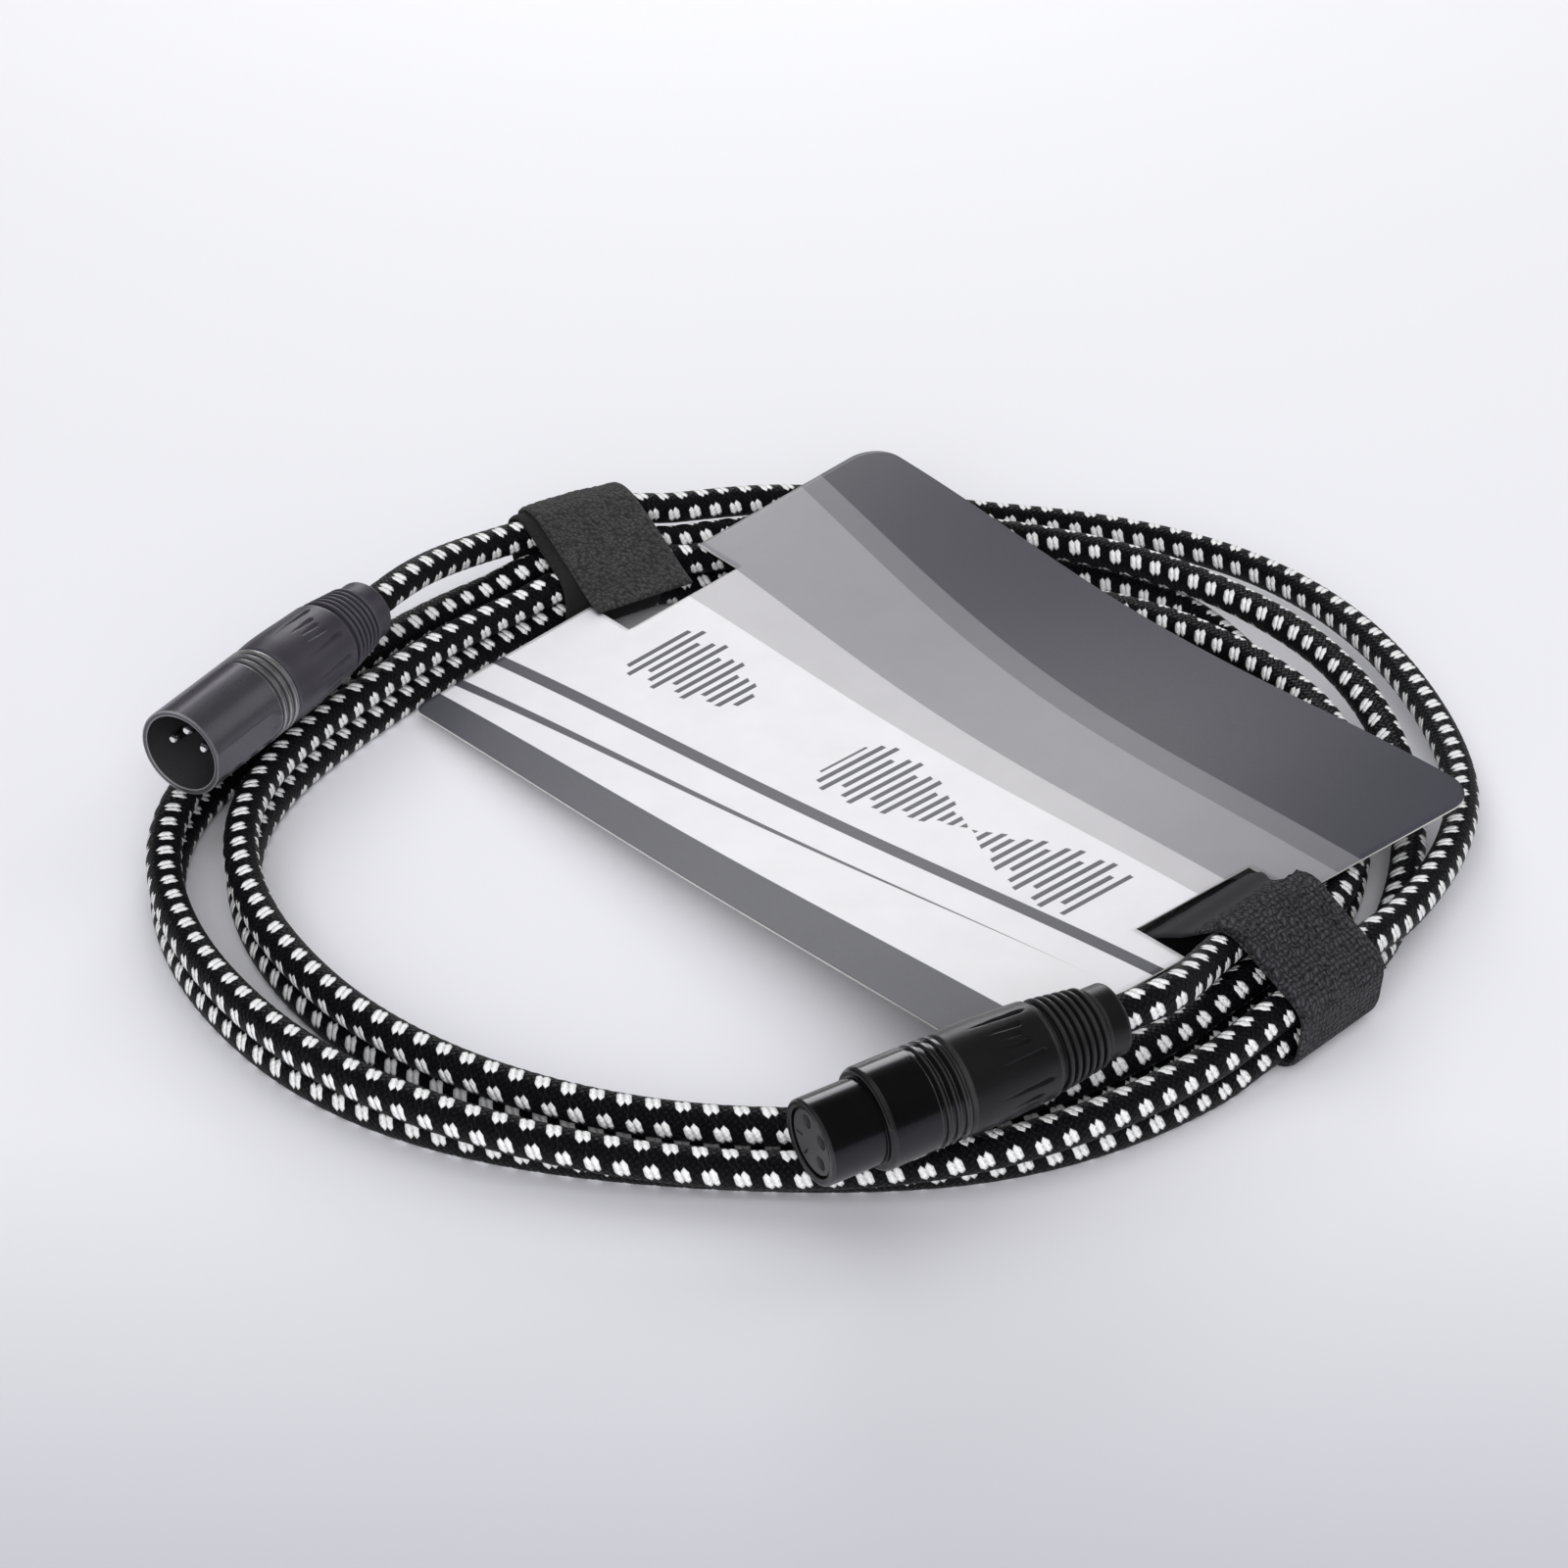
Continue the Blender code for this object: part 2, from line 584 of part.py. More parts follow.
def female_contacts(kit):
    front = FEMALE_RECESS + CONTACT_FRONT
    rear = FEMALE_RECESS + FEMALE_INSERT_LENGTH + CUP_LENGTH
    outer = CONTACT_OD / 2
    bore = CONTACT_BORE / 2
    cup = WIRE_OD / 2 + GAP
    cup_start = rear - CUP_LENGTH
    socket_end = front + CONTACT_SOCKET
    profile = [(0.0, cup_start), (cup, cup_start), (cup, rear), (outer, rear), (outer, front), (bore, front),
               (bore, socket_end), (0.0, socket_end)]
    for index, (x, y) in enumerate(pin_places(FEMALE_ROLL, -1)):
        contact = turned(f"female_contact_{index + 1}", profile, kit["silver"], kit["female"], kit["parts"], 12)
        contact.location = (x, y, 0.0)


def male_shell(kit):
    radius = SHELL_OD / 2
    bore = MALE_BORE / 2
    flange_end = MALE_SOCKET_DEPTH + MALE_INSERT_FLANGE + GAP
    front = [(bore, 0.0), (radius - 0.35 * MM, 0.0), (radius, 0.35 * MM)]
    profile = front + grooved(radius, groove_start(MALE_BODY_END)) + rear_of_shell(MALE_BODY_END)
    seat = FEMALE_BORE / 2
    step = MALE_SOCKET_DEPTH + MALE_INSERT_LENGTH + GAP
    profile += [(WALL_BORE / 2, step), (seat, step), (seat, flange_end), (bore, flange_end)]
    shell = turned("male_shell", profile[::-1], kit["shell"], kit["male"], kit["parts"])
    panel = ((SHELL_OD - PANEL_DEPTH, 0.0, PANEL_LENGTH / 2 - MM), (SHELL_OD, SHELL_OD, PANEL_LENGTH + 2 * MM),
             math.radians(PANEL_TURN))
    cut(shell, bars("side_panel", [panel], kit["male"], kit["cutters"]))
    return shell


def male_insert(kit):
    flange = MALE_BORE / 2 - GAP
    neck = FEMALE_BORE / 2 - GAP
    start = MALE_SOCKET_DEPTH
    step = start + MALE_INSERT_FLANGE
    end = start + MALE_INSERT_LENGTH
    profile = [(0.0, end), (neck, end), (neck, step), (flange, step), (flange, start), (0.0, start)]
    insert = turned("male_insert", profile, kit["moulding"], kit["male"], kit["parts"])
    cut(insert, rods("pin_seats", pin_places(MALE_ROLL, -1), PIN_OD / 2 + GAP, start - MM, end + MM,
                     kit["male"], kit["cutters"], 12))
    return insert


def male_pins(kit):
    radius = PIN_OD / 2
    cup = WIRE_OD / 2
    end = MALE_SOCKET_DEPTH + MALE_INSERT_LENGTH
    rear = end + CUP_LENGTH
    for index, (x, y) in enumerate(pin_places(MALE_ROLL, -1)):
        collar = radius + 0.35 * MM
        profile = [(0.0, end + 0.8 * MM), (cup - 0.1 * MM, end + 0.8 * MM), (cup - 0.1 * MM, rear), (collar, rear),
                   (collar, end + GAP), (radius, end + GAP), (radius, PIN_TIP + 0.7 * MM),
                   (radius * 0.8, PIN_TIP + 0.25 * MM), (radius * 0.45, PIN_TIP), (0.0, PIN_TIP)]
        pin = turned(f"male_pin_{index + 1}", profile, kit["silver"], kit["male"], kit["parts"], 14)
        pin.location = (x, y, 0.0)


def chuck(name, start, parent, kit):
    # clamp round the cable, slotted from its front end
    bore = CABLE_OD / 2 + FIT
    end = start + CHUCK_LENGTH
    profile = [(CHUCK_TAIL_OD / 2, end), (CHUCK_OD / 2, end - CHUCK_TAPER), (CHUCK_OD / 2, start), (bore, start),
               (bore, end)]
    item = turned(name, profile, kit["boot_grey"], parent, kit["parts"], 20)
    depth = CHUCK_LENGTH * 0.55
    slots = [((0, 0, start + depth / 2 - MM), (2 * CHUCK_OD, CHUCK_SLOT, depth + 2 * MM), turn)
             for turn in (0.0, math.pi / 2)]
    for index, box in enumerate(slots):
        cut(item, bars(f"{name}_slot_{index + 1}", [box], parent, kit["cutters"]))
    return item


def boot(name, start, length, chuck_start, material, parent, kit):
    # barrel, ribs that taper to the tail, and a plain collar
    front = start + GAP
    collar = length - BOOT_COLLAR
    ribs = collar - BOOT_RIB_ZONE
    top = BOOT_OD / 2
    outline = [(BOOT_FRONT_OD / 2 - 0.4 * MM, front), (BOOT_FRONT_OD / 2, front + 0.5 * MM),
               (top, front + 4.0 * MM), (top, front + 8.0 * MM), (BOOT_NECK_OD / 2 + 0.3 * MM, ribs - 1.0 * MM),
               (BOOT_NECK_OD / 2, ribs - 0.3 * MM)]
    pitch = BOOT_RIB_ZONE / BOOT_RIBS
    for index in range(BOOT_RIBS):
        z = ribs + index * pitch
        share = index / BOOT_RIBS
        crest = BOOT_NECK_OD / 2 * (1 - share) + (BOOT_TAIL_OD / 2 + 0.6 * MM) * share
        outline += [(crest - RIB_DEPTH, z), (crest - RIB_DEPTH, z + 0.35 * pitch),
                    (crest - 0.15 * MM, z + 0.5 * pitch), (crest - 0.15 * MM, z + 0.9 * pitch)]
    tail = BOOT_TAIL_OD / 2
    outline += [(tail - 0.4 * MM, collar + 0.1 * MM), (tail, collar + 0.9 * MM), (tail, length - 0.5 * MM),
                (tail - 0.5 * MM, length)]
    hole = CABLE_OD / 2 + GAP
    spigot = SPIGOT_OD / 2 + GAP
    spigot_end = start + SPIGOT_LENGTH + GAP
    clamp = CHUCK_OD / 2 + GAP
    clamp_end = chuck_start + CHUCK_LENGTH - CHUCK_TAPER + GAP
    seat_end = chuck_start + CHUCK_LENGTH + GAP
    outline += [(hole, length), (hole, seat_end), (CHUCK_TAIL_OD / 2 + GAP, seat_end), (clamp, clamp_end),
                (clamp, spigot_end), (spigot, spigot_end), (spigot, front)]
    item = turned(name, outline[::-1], material, parent, kit["parts"])
    grips = []
    barrel = ribs - front
    for group in range(GRIP_GROUPS):
        base = group * 2 * math.pi / GRIP_GROUPS + math.radians(GRIP_START)
        for offset, share in GRIP_LINES:
            size = (2.0 * MM, GRIP_WIDTH, barrel * share)
            centre = (top - GRIP_DEPTH + MM, 0.0, front + barrel * 0.5)
            grips.append((centre, size, base + math.radians(offset)))
    cut(item, bars(f"{name}_grips", grips, parent, kit["cutters"]))
    return item


def wires(prefix, places, start, end, parent, kit):
    # from the solder cups, drawn together to the cut end of the cable
    for index, (x, y) in enumerate(places):
        inner = Vector((x, y)) * (1.35 * MM / Vector((x, y)).length)
        points = []
        for step in range(7):
            t = smooth(step / 6)
            z = start + (end - start) * step / 6
            points.append((x + (inner.x - x) * t, y + (inner.y - y) * t, z))
        tube(f"{prefix}_wire_{index + 1}", points, WIRE_OD, 1, kit[f"wire_{index + 1}"], parent, kit["parts"])


# cable

def cable(kit):
    route = cable_route()
    gap, length = least_gap(route)
    print(f"cable_coil: least gap to itself {gap / MM:.2f} mm, length {length:.3f} m, {len(route)} points")
    raw = tube("cable_line", route, CABLE_OD, 1, None, kit["plan"], kit["parts"])
    coil = as_mesh(raw, "cable_coil", kit["braid"], kit["plan"], kit["parts"])
    size = 0.6
    floor = [((0, 0, -size / 2), (size, size, size), 0.0)]
    cut(coil, bars("floor_plane", floor, kit["plan"], kit["cutters"]))
    shade(coil, 50.0)
    return coil


# straps

def convex_outline(points):
    # monotone chain, counter-clockwise
    points = sorted(set((round(x, 7), round(y, 7)) for x, y in points))
    halves = []
    for ordered in (points, points[::-1]):
        chain = []
        for p in ordered:
            while len(chain) > 1:
                (ax, ay), (bx, by) = chain[-2], chain[-1]
                if (bx - ax) * (p[1] - ay) - (by - ay) * (p[0] - ax) > 0:
                    break
                chain.pop()
            chain.append(p)
        halves.append(chain[:-1])
    return halves[0] + halves[1]


def strand_centres(centre, turn, half_width):
    # where the cable crosses the strap, in the strap's own plane (inwards, height)
    inwards = Vector((math.cos(turn), math.sin(turn), 0.0))
    across = Vector((-math.sin(turn), math.cos(turn), 0.0))
    found = []
    route = cable_route()
    for a, b in zip(route, route[1:]):
        for k in range(8):
            p = a.lerp(b, k / 8)
            near = (p.xy - Vector(centre)).length < 45 * MM
            if near and abs((p - Vector((*centre, 0.0))).dot(across)) < half_width + MM:
                found.append(((p - Vector((*centre, 0.0))).dot(inwards), p.z))
    return found


def wrapped(centres, radius):
    ring = [(math.cos(2 * math.pi * k / 20), math.sin(2 * math.pi * k / 20)) for k in range(20)]
    scale = radius / math.cos(math.pi / 20)
    return convex_outline([(x + scale * c, max(z + scale * s, 0.0)) for x, z in centres for c, s in ring])


def slab_between(name, outlines, width, material, location, turn, kit):
    # closed outlines in the strap's plane, filled between and spread across its width
    data = bpy.data.curves.new(name, "CURVE")
    data.dimensions = "2D"
    data.fill_mode = "BOTH"
    data.extrude = width / 2
    for outline in outlines:
        spline = data.splines.new("POLY")
        spline.points.add(len(outline) - 1)
        for spot, (x, y) in zip(spline.points, outline):
            spot.co = (x, y, 0.0, 1.0)
        spline.use_cyclic_u = True
    raw = add(name + "_line", data, None, None, kit["parts"])
    raw.matrix_world = (Matrix.Translation(location) @ Matrix.Rotation(turn, 4, "Z")
                        @ Matrix.Rotation(math.pi / 2, 4, "X"))
    item = as_mesh(raw, name, material, None, kit["parts"])
    item.parent = kit["plan"]
    return item


def thin(outline, least):
    kept = []
    for p in outline:
        if not kept or math.dist(p, kept[-1]) > least:
            kept.append(p)
    return kept


def shoulder_path(outline, inner_end, drop):
    # the part of a counter-clockwise outline that runs over the top, from the inner end to the outer shoulder
    start = max(range(len(outline)), key=lambda k: outline[k][0])
    path = []
    for k in range(len(outline)):
        x, z = outline[(start + k) % len(outline)]
        if x > inner_end:
            continue
        if z < drop and path and x < path[0][0] - STRAP_WIDTH / 3:
            break
        path.append((x, z))
    return path


def offset_line(path, distance):
    # shifts an open line sideways, to its right as it runs from inner to outer end
    moved = []
    for index, p in enumerate(path):
        a = path[max(index - 1, 0)]
        b = path[min(index + 1, len(path) - 1)]
        dx, dy = b[0] - a[0], b[1] - a[1]
        size = math.hypot(dx, dy)
        moved.append((p[0] + dy / size * distance, p[1] - dx / size * distance))
    return moved


def flap(name, outline, shape, centre, turn, kit):
    # lies on the band from its free inner end to the outer shoulder, where it peels
    path = [shape["tip"]] + shoulder_path(outline, shape["inner"], shape["drop"])
    lower = offset_line(path, GAP)
    upper = offset_line(path, GAP + FLAP_THICK)
    hinge = lower[-1]
    section = [(x - hinge[0], z - hinge[1]) for x, z in lower + upper[::-1]]
    across = Vector((-math.sin(turn), math.cos(turn), 0.0)) * shape["aside"]
    inwards = Vector((math.cos(turn), math.sin(turn), 0.0)) * hinge[0]
    location = Vector((*centre, hinge[1])) + across + inwards
    slab_between(name, [section], STRAP_WIDTH, kit["pile"], location, turn, kit)
    return location


def strap(side, place, extra, shape, kit):
    centre, turn = place[0], math.radians(place[1])
    centres = strand_centres(centre, turn, STRAP_WIDTH / 2) + extra
    inner = wrapped(centres, CABLE_OD / 2 + GAP)
    outer = wrapped(centres, CABLE_OD / 2 + GAP + BAND_THICK)
    inner = [(x, max(z, BAND_THICK)) for x, z in inner]
    outlines = [thin(convex_outline(outer), 0.5 * MM), thin(convex_outline(inner), 0.5 * MM)]
    slab_between(f"strap_{side}_band", outlines, STRAP_WIDTH, kit["webbing"], Vector((*centre, 0.0)), turn, kit)
    return flap(f"strap_{side}_flap", outlines[0], shape, centre, turn, kit)


# card

def card_height(x, y):
    u = (x - CARD_LEFT) / CARD_WIDTH
    v = (y - CARD_NEAR) / CARD_DEPTH
    near_left, near_right, far_right, far_left = CARD_CORNERS
    flat = ((1 - u) * (1 - v) * near_left + u * (1 - v) * near_right + u * v * far_right + (1 - u) * v * far_left)
    return flat - CARD_SAG * (0.2 + 0.8 * v) * math.sin(math.pi * min(max(u, 0.0), 1.0)) ** 2


def corner_arc(x, y, radius, start):
    if radius <= 0:
        return [(x, y)]
    return [(x + radius * math.cos(math.radians(start + 15 * k)), y + radius * math.sin(math.radians(start + 15 * k)))
            for k in range(7)]


def hang_card(kit):
    left, right = CARD_LEFT, CARD_LEFT + CARD_WIDTH
    near, far = CARD_NEAR, CARD_NEAR + CARD_DEPTH
    notch_end = NOTCH_START + NOTCH_WIDTH
    small, big = CARD_NEAR_RADIUS, CARD_FAR_RADIUS
    outline = corner_arc(left + small, near + small, small, 180) + corner_arc(right - small, near + small, small, 270)
    outline += [(right, NOTCH_START), (right - NOTCH_RIGHT, NOTCH_START), (right - NOTCH_RIGHT, notch_end),
                (right, notch_end)]
    outline += corner_arc(right - big, far - big, big, 0) + corner_arc(left + big, far - big, big, 90)
    outline += [(left, notch_end), (left + NOTCH_LEFT, notch_end), (left + NOTCH_LEFT, NOTCH_START),
                (left, NOTCH_START)]
    mesh = bpy.data.meshes.new("hang_card")
    work = bmesh.new()
    face = work.faces.new([work.verts.new((x, y, 0.0)) for x, y in outline])
    for axis, start, size, count in ((0, left, CARD_WIDTH, 12), (1, near, CARD_DEPTH, 8)):
        normal = Vector((1, 0, 0)) if axis == 0 else Vector((0, 1, 0))
        for k in range(1, count):
            spot = Vector((0, 0, 0))
            spot[axis] = start + size * k / count
            geom = list(work.verts) + list(work.edges) + list(work.faces)
            bmesh.ops.bisect_plane(work, geom=geom, dist=1e-7, plane_co=spot, plane_no=normal)
    bmesh.ops.triangulate(work, faces=work.faces)
    for vert in work.verts:
        vert.co.z = card_height(vert.co.x, vert.co.y)
    bmesh.ops.recalc_face_normals(work, faces=work.faces)
    if sum(f.normal.z for f in work.faces) < 0:
        bmesh.ops.reverse_faces(work, faces=work.faces)
    work.to_mesh(mesh)
    work.free()
    card = add("hang_card", mesh, kit["card"], kit["plan"], kit["parts"])
    wall = card.modifiers.new("board", "SOLIDIFY")
    wall.thickness = CARD_THICK
    wall.offset = 0.0
    return card


def materials():
    return {
        "braid": finish("black_braid", (0.012, 0.012, 0.013), 0.75),
        "shell": finish("black_satin_shell", (0.018, 0.018, 0.02), 0.38, 0.6),
        "moulding": finish("dark_moulding", (0.05, 0.05, 0.054), 0.5),
        "silver": finish("silver_contact", (0.78, 0.78, 0.76), 0.22, 1.0),
        "steel": finish("latch_steel", (0.10, 0.10, 0.11), 0.35, 1.0),
        "boot_black": finish("black_boot", (0.022, 0.022, 0.024), 0.55),
        "boot_grey": finish("grey_boot", (0.055, 0.053, 0.062), 0.5),
        "webbing": finish("black_webbing", (0.03, 0.03, 0.034), 0.9),
        "pile": finish("charcoal_pile", (0.045, 0.045, 0.05), 0.95),
        "card": finish("printed_board", (0.80, 0.80, 0.81), 0.6),
        "wire_1": finish("bare_screen", (0.72, 0.45, 0.30), 0.4, 0.8),
        "wire_2": finish("red_core", (0.55, 0.03, 0.03), 0.5),
        "wire_3": finish("white_core", (0.75, 0.75, 0.72), 0.5),
    }


def centre_on_origin(plan, parts):
    # moves the whole part so that its box stands on z = 0 around the origin
    bpy.context.view_layer.update()
    graph = bpy.context.evaluated_depsgraph_get()
    corners = []
    for item in parts.objects:
        if item.type in {"MESH", "CURVE"}:
            shape = item.evaluated_get(graph).to_mesh()
            corners += [item.matrix_world @ v.co for v in shape.vertices]
            item.evaluated_get(graph).to_mesh_clear()
    box = np.array([tuple(c) for c in corners])
    low, high = box.min(axis=0), box.max(axis=0)
    shift = Vector((-round((low[0] + high[0]) / 2, 5), -round((low[1] + high[1]) / 2, 5), 0.0))
    plan.location = shift
    print(f"box {tuple(round(v / MM, 2) for v in high - low)} mm, lowest {low[2] / MM:.3f} mm, "
          f"shift {tuple(round(v / MM, 3) for v in shift)} mm")
    return shift


def main():
    clear_scene()
    kit = materials()
    kit["parts"] = new_collection("xlr_cable_coil")
    kit["cutters"] = new_collection("cutters")
    kit["cutters"].hide_render = True
    plan = empty("plan", (0, 0, 0), kit["parts"])
    kit["plan"] = plan
    kit["female"] = empty("female_seat", FEMALE_FACE, kit["parts"], frame_turn(FEMALE_FACE, FEMALE_TAIL))
    kit["male"] = empty("male_seat", MALE_FACE, kit["parts"], frame_turn(MALE_FACE, MALE_TAIL))
    kit["female"].parent = plan
    kit["male"].parent = plan

    cable(kit)
    female_shell(kit)
    female_insert(kit)
    female_contacts(kit)
    female_latch(kit)
    chuck("female_chuck", CHUCK_FRONT_FEMALE, kit["female"], kit)
    boot("female_boot", FEMALE_BODY_END, FEMALE_LENGTH, CHUCK_FRONT_FEMALE, kit["boot_black"], kit["female"], kit)
    female_cups = FEMALE_RECESS + FEMALE_INSERT_LENGTH + 2 * GAP
    wires("female", pin_places(FEMALE_ROLL, -1), female_cups, CABLE_START_FEMALE - GAP, kit["female"], kit)

    male_shell(kit)
    male_insert(kit)
    male_pins(kit)
    chuck("male_chuck", CHUCK_FRONT_MALE, kit["male"], kit)
    boot("male_boot", MALE_BODY_END, MALE_LENGTH, CHUCK_FRONT_MALE, kit["boot_grey"], kit["male"], kit)
    male_cups = MALE_SOCKET_DEPTH + MALE_INSERT_LENGTH + CUP_LENGTH + GAP
    wires("male", pin_places(MALE_ROLL, -1), male_cups, CABLE_START_MALE - GAP, kit["male"], kit)

    right = strap("right", RIGHT_STRAP, [TONGUE], RIGHT_FLAP, kit)
    left = strap("left", LEFT_STRAP, [], LEFT_FLAP, kit)
    hang_card(kit)
    shift = centre_on_origin(plan, kit["parts"])
    for name, place in (("right flap hinge", right), ("left flap hinge", left), ("female face", FEMALE_FACE),
                        ("female way", FEMALE_WAY), ("male face", MALE_FACE), ("male way", MALE_WAY),
                        ("latch way", latch_way())):
        moved = place if name.endswith("way") else place + shift
        print(name, tuple(round(v, 5) for v in moved))


main()
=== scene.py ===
import math

import bpy
import numpy as np
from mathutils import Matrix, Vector


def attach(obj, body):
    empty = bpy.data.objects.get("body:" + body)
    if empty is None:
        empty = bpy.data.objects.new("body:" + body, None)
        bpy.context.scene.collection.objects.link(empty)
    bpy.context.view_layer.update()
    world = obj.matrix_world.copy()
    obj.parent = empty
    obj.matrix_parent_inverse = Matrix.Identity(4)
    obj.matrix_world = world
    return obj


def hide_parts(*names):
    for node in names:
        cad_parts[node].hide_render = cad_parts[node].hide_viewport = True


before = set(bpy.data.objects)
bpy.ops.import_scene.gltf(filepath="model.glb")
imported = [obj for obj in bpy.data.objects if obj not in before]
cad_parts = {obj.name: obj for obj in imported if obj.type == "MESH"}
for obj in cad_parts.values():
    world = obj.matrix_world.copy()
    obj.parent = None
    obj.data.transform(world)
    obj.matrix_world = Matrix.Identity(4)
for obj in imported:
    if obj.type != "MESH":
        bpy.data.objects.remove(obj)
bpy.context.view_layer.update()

# XLR cable wound on a printed hang card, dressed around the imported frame. Metres, +Z up.

mm = 0.001
planShift = np.array([-10.05, -6.25, 0.0]) * mm     # from the coil's drawing to the frame
upwards = np.array([0.0, 0.0, 1.0])


def unit(vector):
    return vector / np.linalg.norm(vector, axis=-1, keepdims=True)


def smoothStep(value, start, end):
    share = np.clip((value - start) / (end - start), 0.0, 1.0)
    return share * share * (3.0 - 2.0 * share)


def turnFrom(centre, turn):
    # signed degrees from one direction to another, the short way round
    return (turn - centre + 180.0) % 360.0 - 180.0


def runOf(line):
    # how far along a line each of its points lies
    return np.concatenate(([0.0], np.cumsum(np.linalg.norm(np.diff(line, axis=0), axis=1))))


def evenSteps(line, step):
    # the same line with its points about one step apart, and its length
    along = runOf(line)
    places = np.linspace(0.0, along[-1], int(along[-1] / step) + 1)
    return np.stack([np.interp(places, along, values) for values in line.T], axis=-1), along[-1]


def gridFaces(rows, columns, wrapRows, wrapColumns):
    # four corners of every cell of a grid of points, turning the same way
    row = np.arange(rows if wrapRows else rows - 1)
    column = np.arange(columns if wrapColumns else columns - 1)
    r, c = np.meshgrid(row, column, indexing="ij")
    rNext, cNext = (r + 1) % rows, (c + 1) % columns
    corners = [r * columns + c, r * columns + cNext, rNext * columns + cNext, rNext * columns + c]
    return np.stack(corners, axis=-1).reshape(-1, 4)


def endRings(rings, sides):
    # the first and the last ring of a tube, turned to face outwards
    first = np.arange(sides)
    return first[::-1], first + (rings - 1) * sides


def linked(name, data):
    item = bpy.data.objects.new(name, data)
    bpy.context.scene.collection.objects.link(item)
    return item


def meshPiece(name, points, faces, capRings=(), uv=None, values=None):
    # points (n, 3), faces (m, 4), and whole rings of points to be closed by one flat face each
    mesh = bpy.data.meshes.new(name)
    mesh.from_pydata(points.tolist(), [], faces.tolist() + [ring.tolist() for ring in capRings])
    mesh.shade_smooth()
    if uv is not None:
        corners = uv[np.concatenate([faces.ravel(), *capRings])]
        cells = corners[:faces.size].reshape(-1, 4, 2)
        wrapped = np.ptp(cells[..., 0], axis=1) > 0.5       # cells across the seam of the uv
        cells[wrapped, :, 0] += cells[wrapped, :, 0] < 0.5
        mesh.uv_layers.new(name="UVMap").data.foreach_set("uv", corners.ravel())
    for label, numbers in (values or {}).items():
        made = mesh.attributes.new(label, "FLOAT", "POINT")
        made.data.foreach_set("value", np.ascontiguousarray(numbers, dtype=np.float32).ravel())
    return linked(name, mesh)


def painted(item, material):
    item.data.materials.clear()
    item.data.materials.append(material)
    return item


def finished(piece, material, body, slot, *nodes):
    painted(piece, material)
    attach(piece, body)
    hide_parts(*nodes)
    return piece


# node building: a helper adds one node and hands back what comes out of it

def feed(socket, value):
    if isinstance(value, bpy.types.NodeSocket):
        socket.id_data.links.new(value, socket)
    else:
        socket.default_value = value


def node(tree, kind, inputs, **settings):
    made = tree.nodes.new("ShaderNode" + kind)
    for key, value in settings.items():
        setattr(made, key, value)
    for key, value in inputs.items():
        feed(made.inputs[key], value)
    return made.outputs


def treeOf(*values):
    # the node tree that the sockets among these values belong to
    return next(value.id_data for value in values if isinstance(value, bpy.types.NodeSocket))


def mathNode(operation):
    return lambda *values: node(treeOf(*values), "Math", dict(enumerate(values)), operation=operation)[0]


plus, minus, times, ratio = map(mathNode, ("ADD", "SUBTRACT", "MULTIPLY", "DIVIDE"))
power, modulo, larger, sine = map(mathNode, ("POWER", "MODULO", "MAXIMUM", "SINE"))
absolute, floored, fraction, signOf = map(mathNode, ("ABSOLUTE", "FLOOR", "FRACT", "SIGN"))


def span(value, fromLow, fromHigh, toLow=0.0, toHigh=1.0):
    inputs = {"Value": value, "From Min": fromLow, "From Max": fromHigh, "To Min": toLow, "To Max": toHigh}
    return node(value.id_data, "MapRange", inputs, clamp=True)["Result"]


def mixColour(share, first, second):
    return node(share.id_data, "Mix", {0: share, 6: first, 7: second}, data_type="RGBA")[2]


def scaled(vector, share):
    return node(share.id_data, "VectorMath", {0: vector, "Scale": share}, operation="SCALE")[0]


def objectPlace(tree):
    return node(tree, "TexCoord", {})["Object"]


def split(vector):
    return node(vector.id_data, "SeparateXYZ", {0: vector})


def attribute(tree, label):
    return node(tree, "Attribute", {}, attribute_name=label)["Fac"]


def noise(tree, scale, detail, place=None):
    place = objectPlace(tree) if place is None else place
    return node(tree, "TexNoise", {"Vector": place, "Scale": scale, "Detail": detail})[0]


def colour(value):
    return (value, value, value, 1.0) if isinstance(value, float) else (*value, 1.0)


def newMaterial(name):
    made = bpy.data.materials.new(name)
    made.use_nodes = True
    return made, made.node_tree


def surface(tree, inputs, height=None, depth=0.0, strength=1.0):
    # the finish of a material, and a relief of so many millimetres
    shader = tree.nodes["Principled BSDF"]
    for key, value in inputs.items():
        feed(shader.inputs[key], value)
    if height is not None:
        bump = node(tree, "Bump", {"Height": height, "Distance": depth * mm, "Strength": strength})
        feed(shader.inputs["Normal"], bump["Normal"])


def newGroup(name, inputs, outputs):
    # inputs by name with their default; a place has none
    group = bpy.data.node_groups.new(name, "ShaderNodeTree")
    for label, value in inputs.items():
        kind = "NodeSocketVector" if value is None else "NodeSocketFloat"
        socket = group.interface.new_socket(name=label, in_out="INPUT", socket_type=kind)
        if value is not None:
            socket.default_value = value
    for label in outputs:
        group.interface.new_socket(name=label, in_out="OUTPUT", socket_type="NodeSocketFloat")
    return group, group.nodes.new("NodeGroupInput").outputs, group.nodes.new("NodeGroupOutput").inputs


def fineGrainGroup():
    # fine speckle and slow cloudiness of a moulded or cast surface
    group, given, result = newGroup("fineGrain", {"Place": None, "Size": 2500.0}, ("Speckle", "Cloud"))
    feed(result["Speckle"], noise(group, given["Size"], 2.0, given["Place"]))
    feed(result["Cloud"], noise(group, 90.0, 3.0, given["Place"]))
    return group


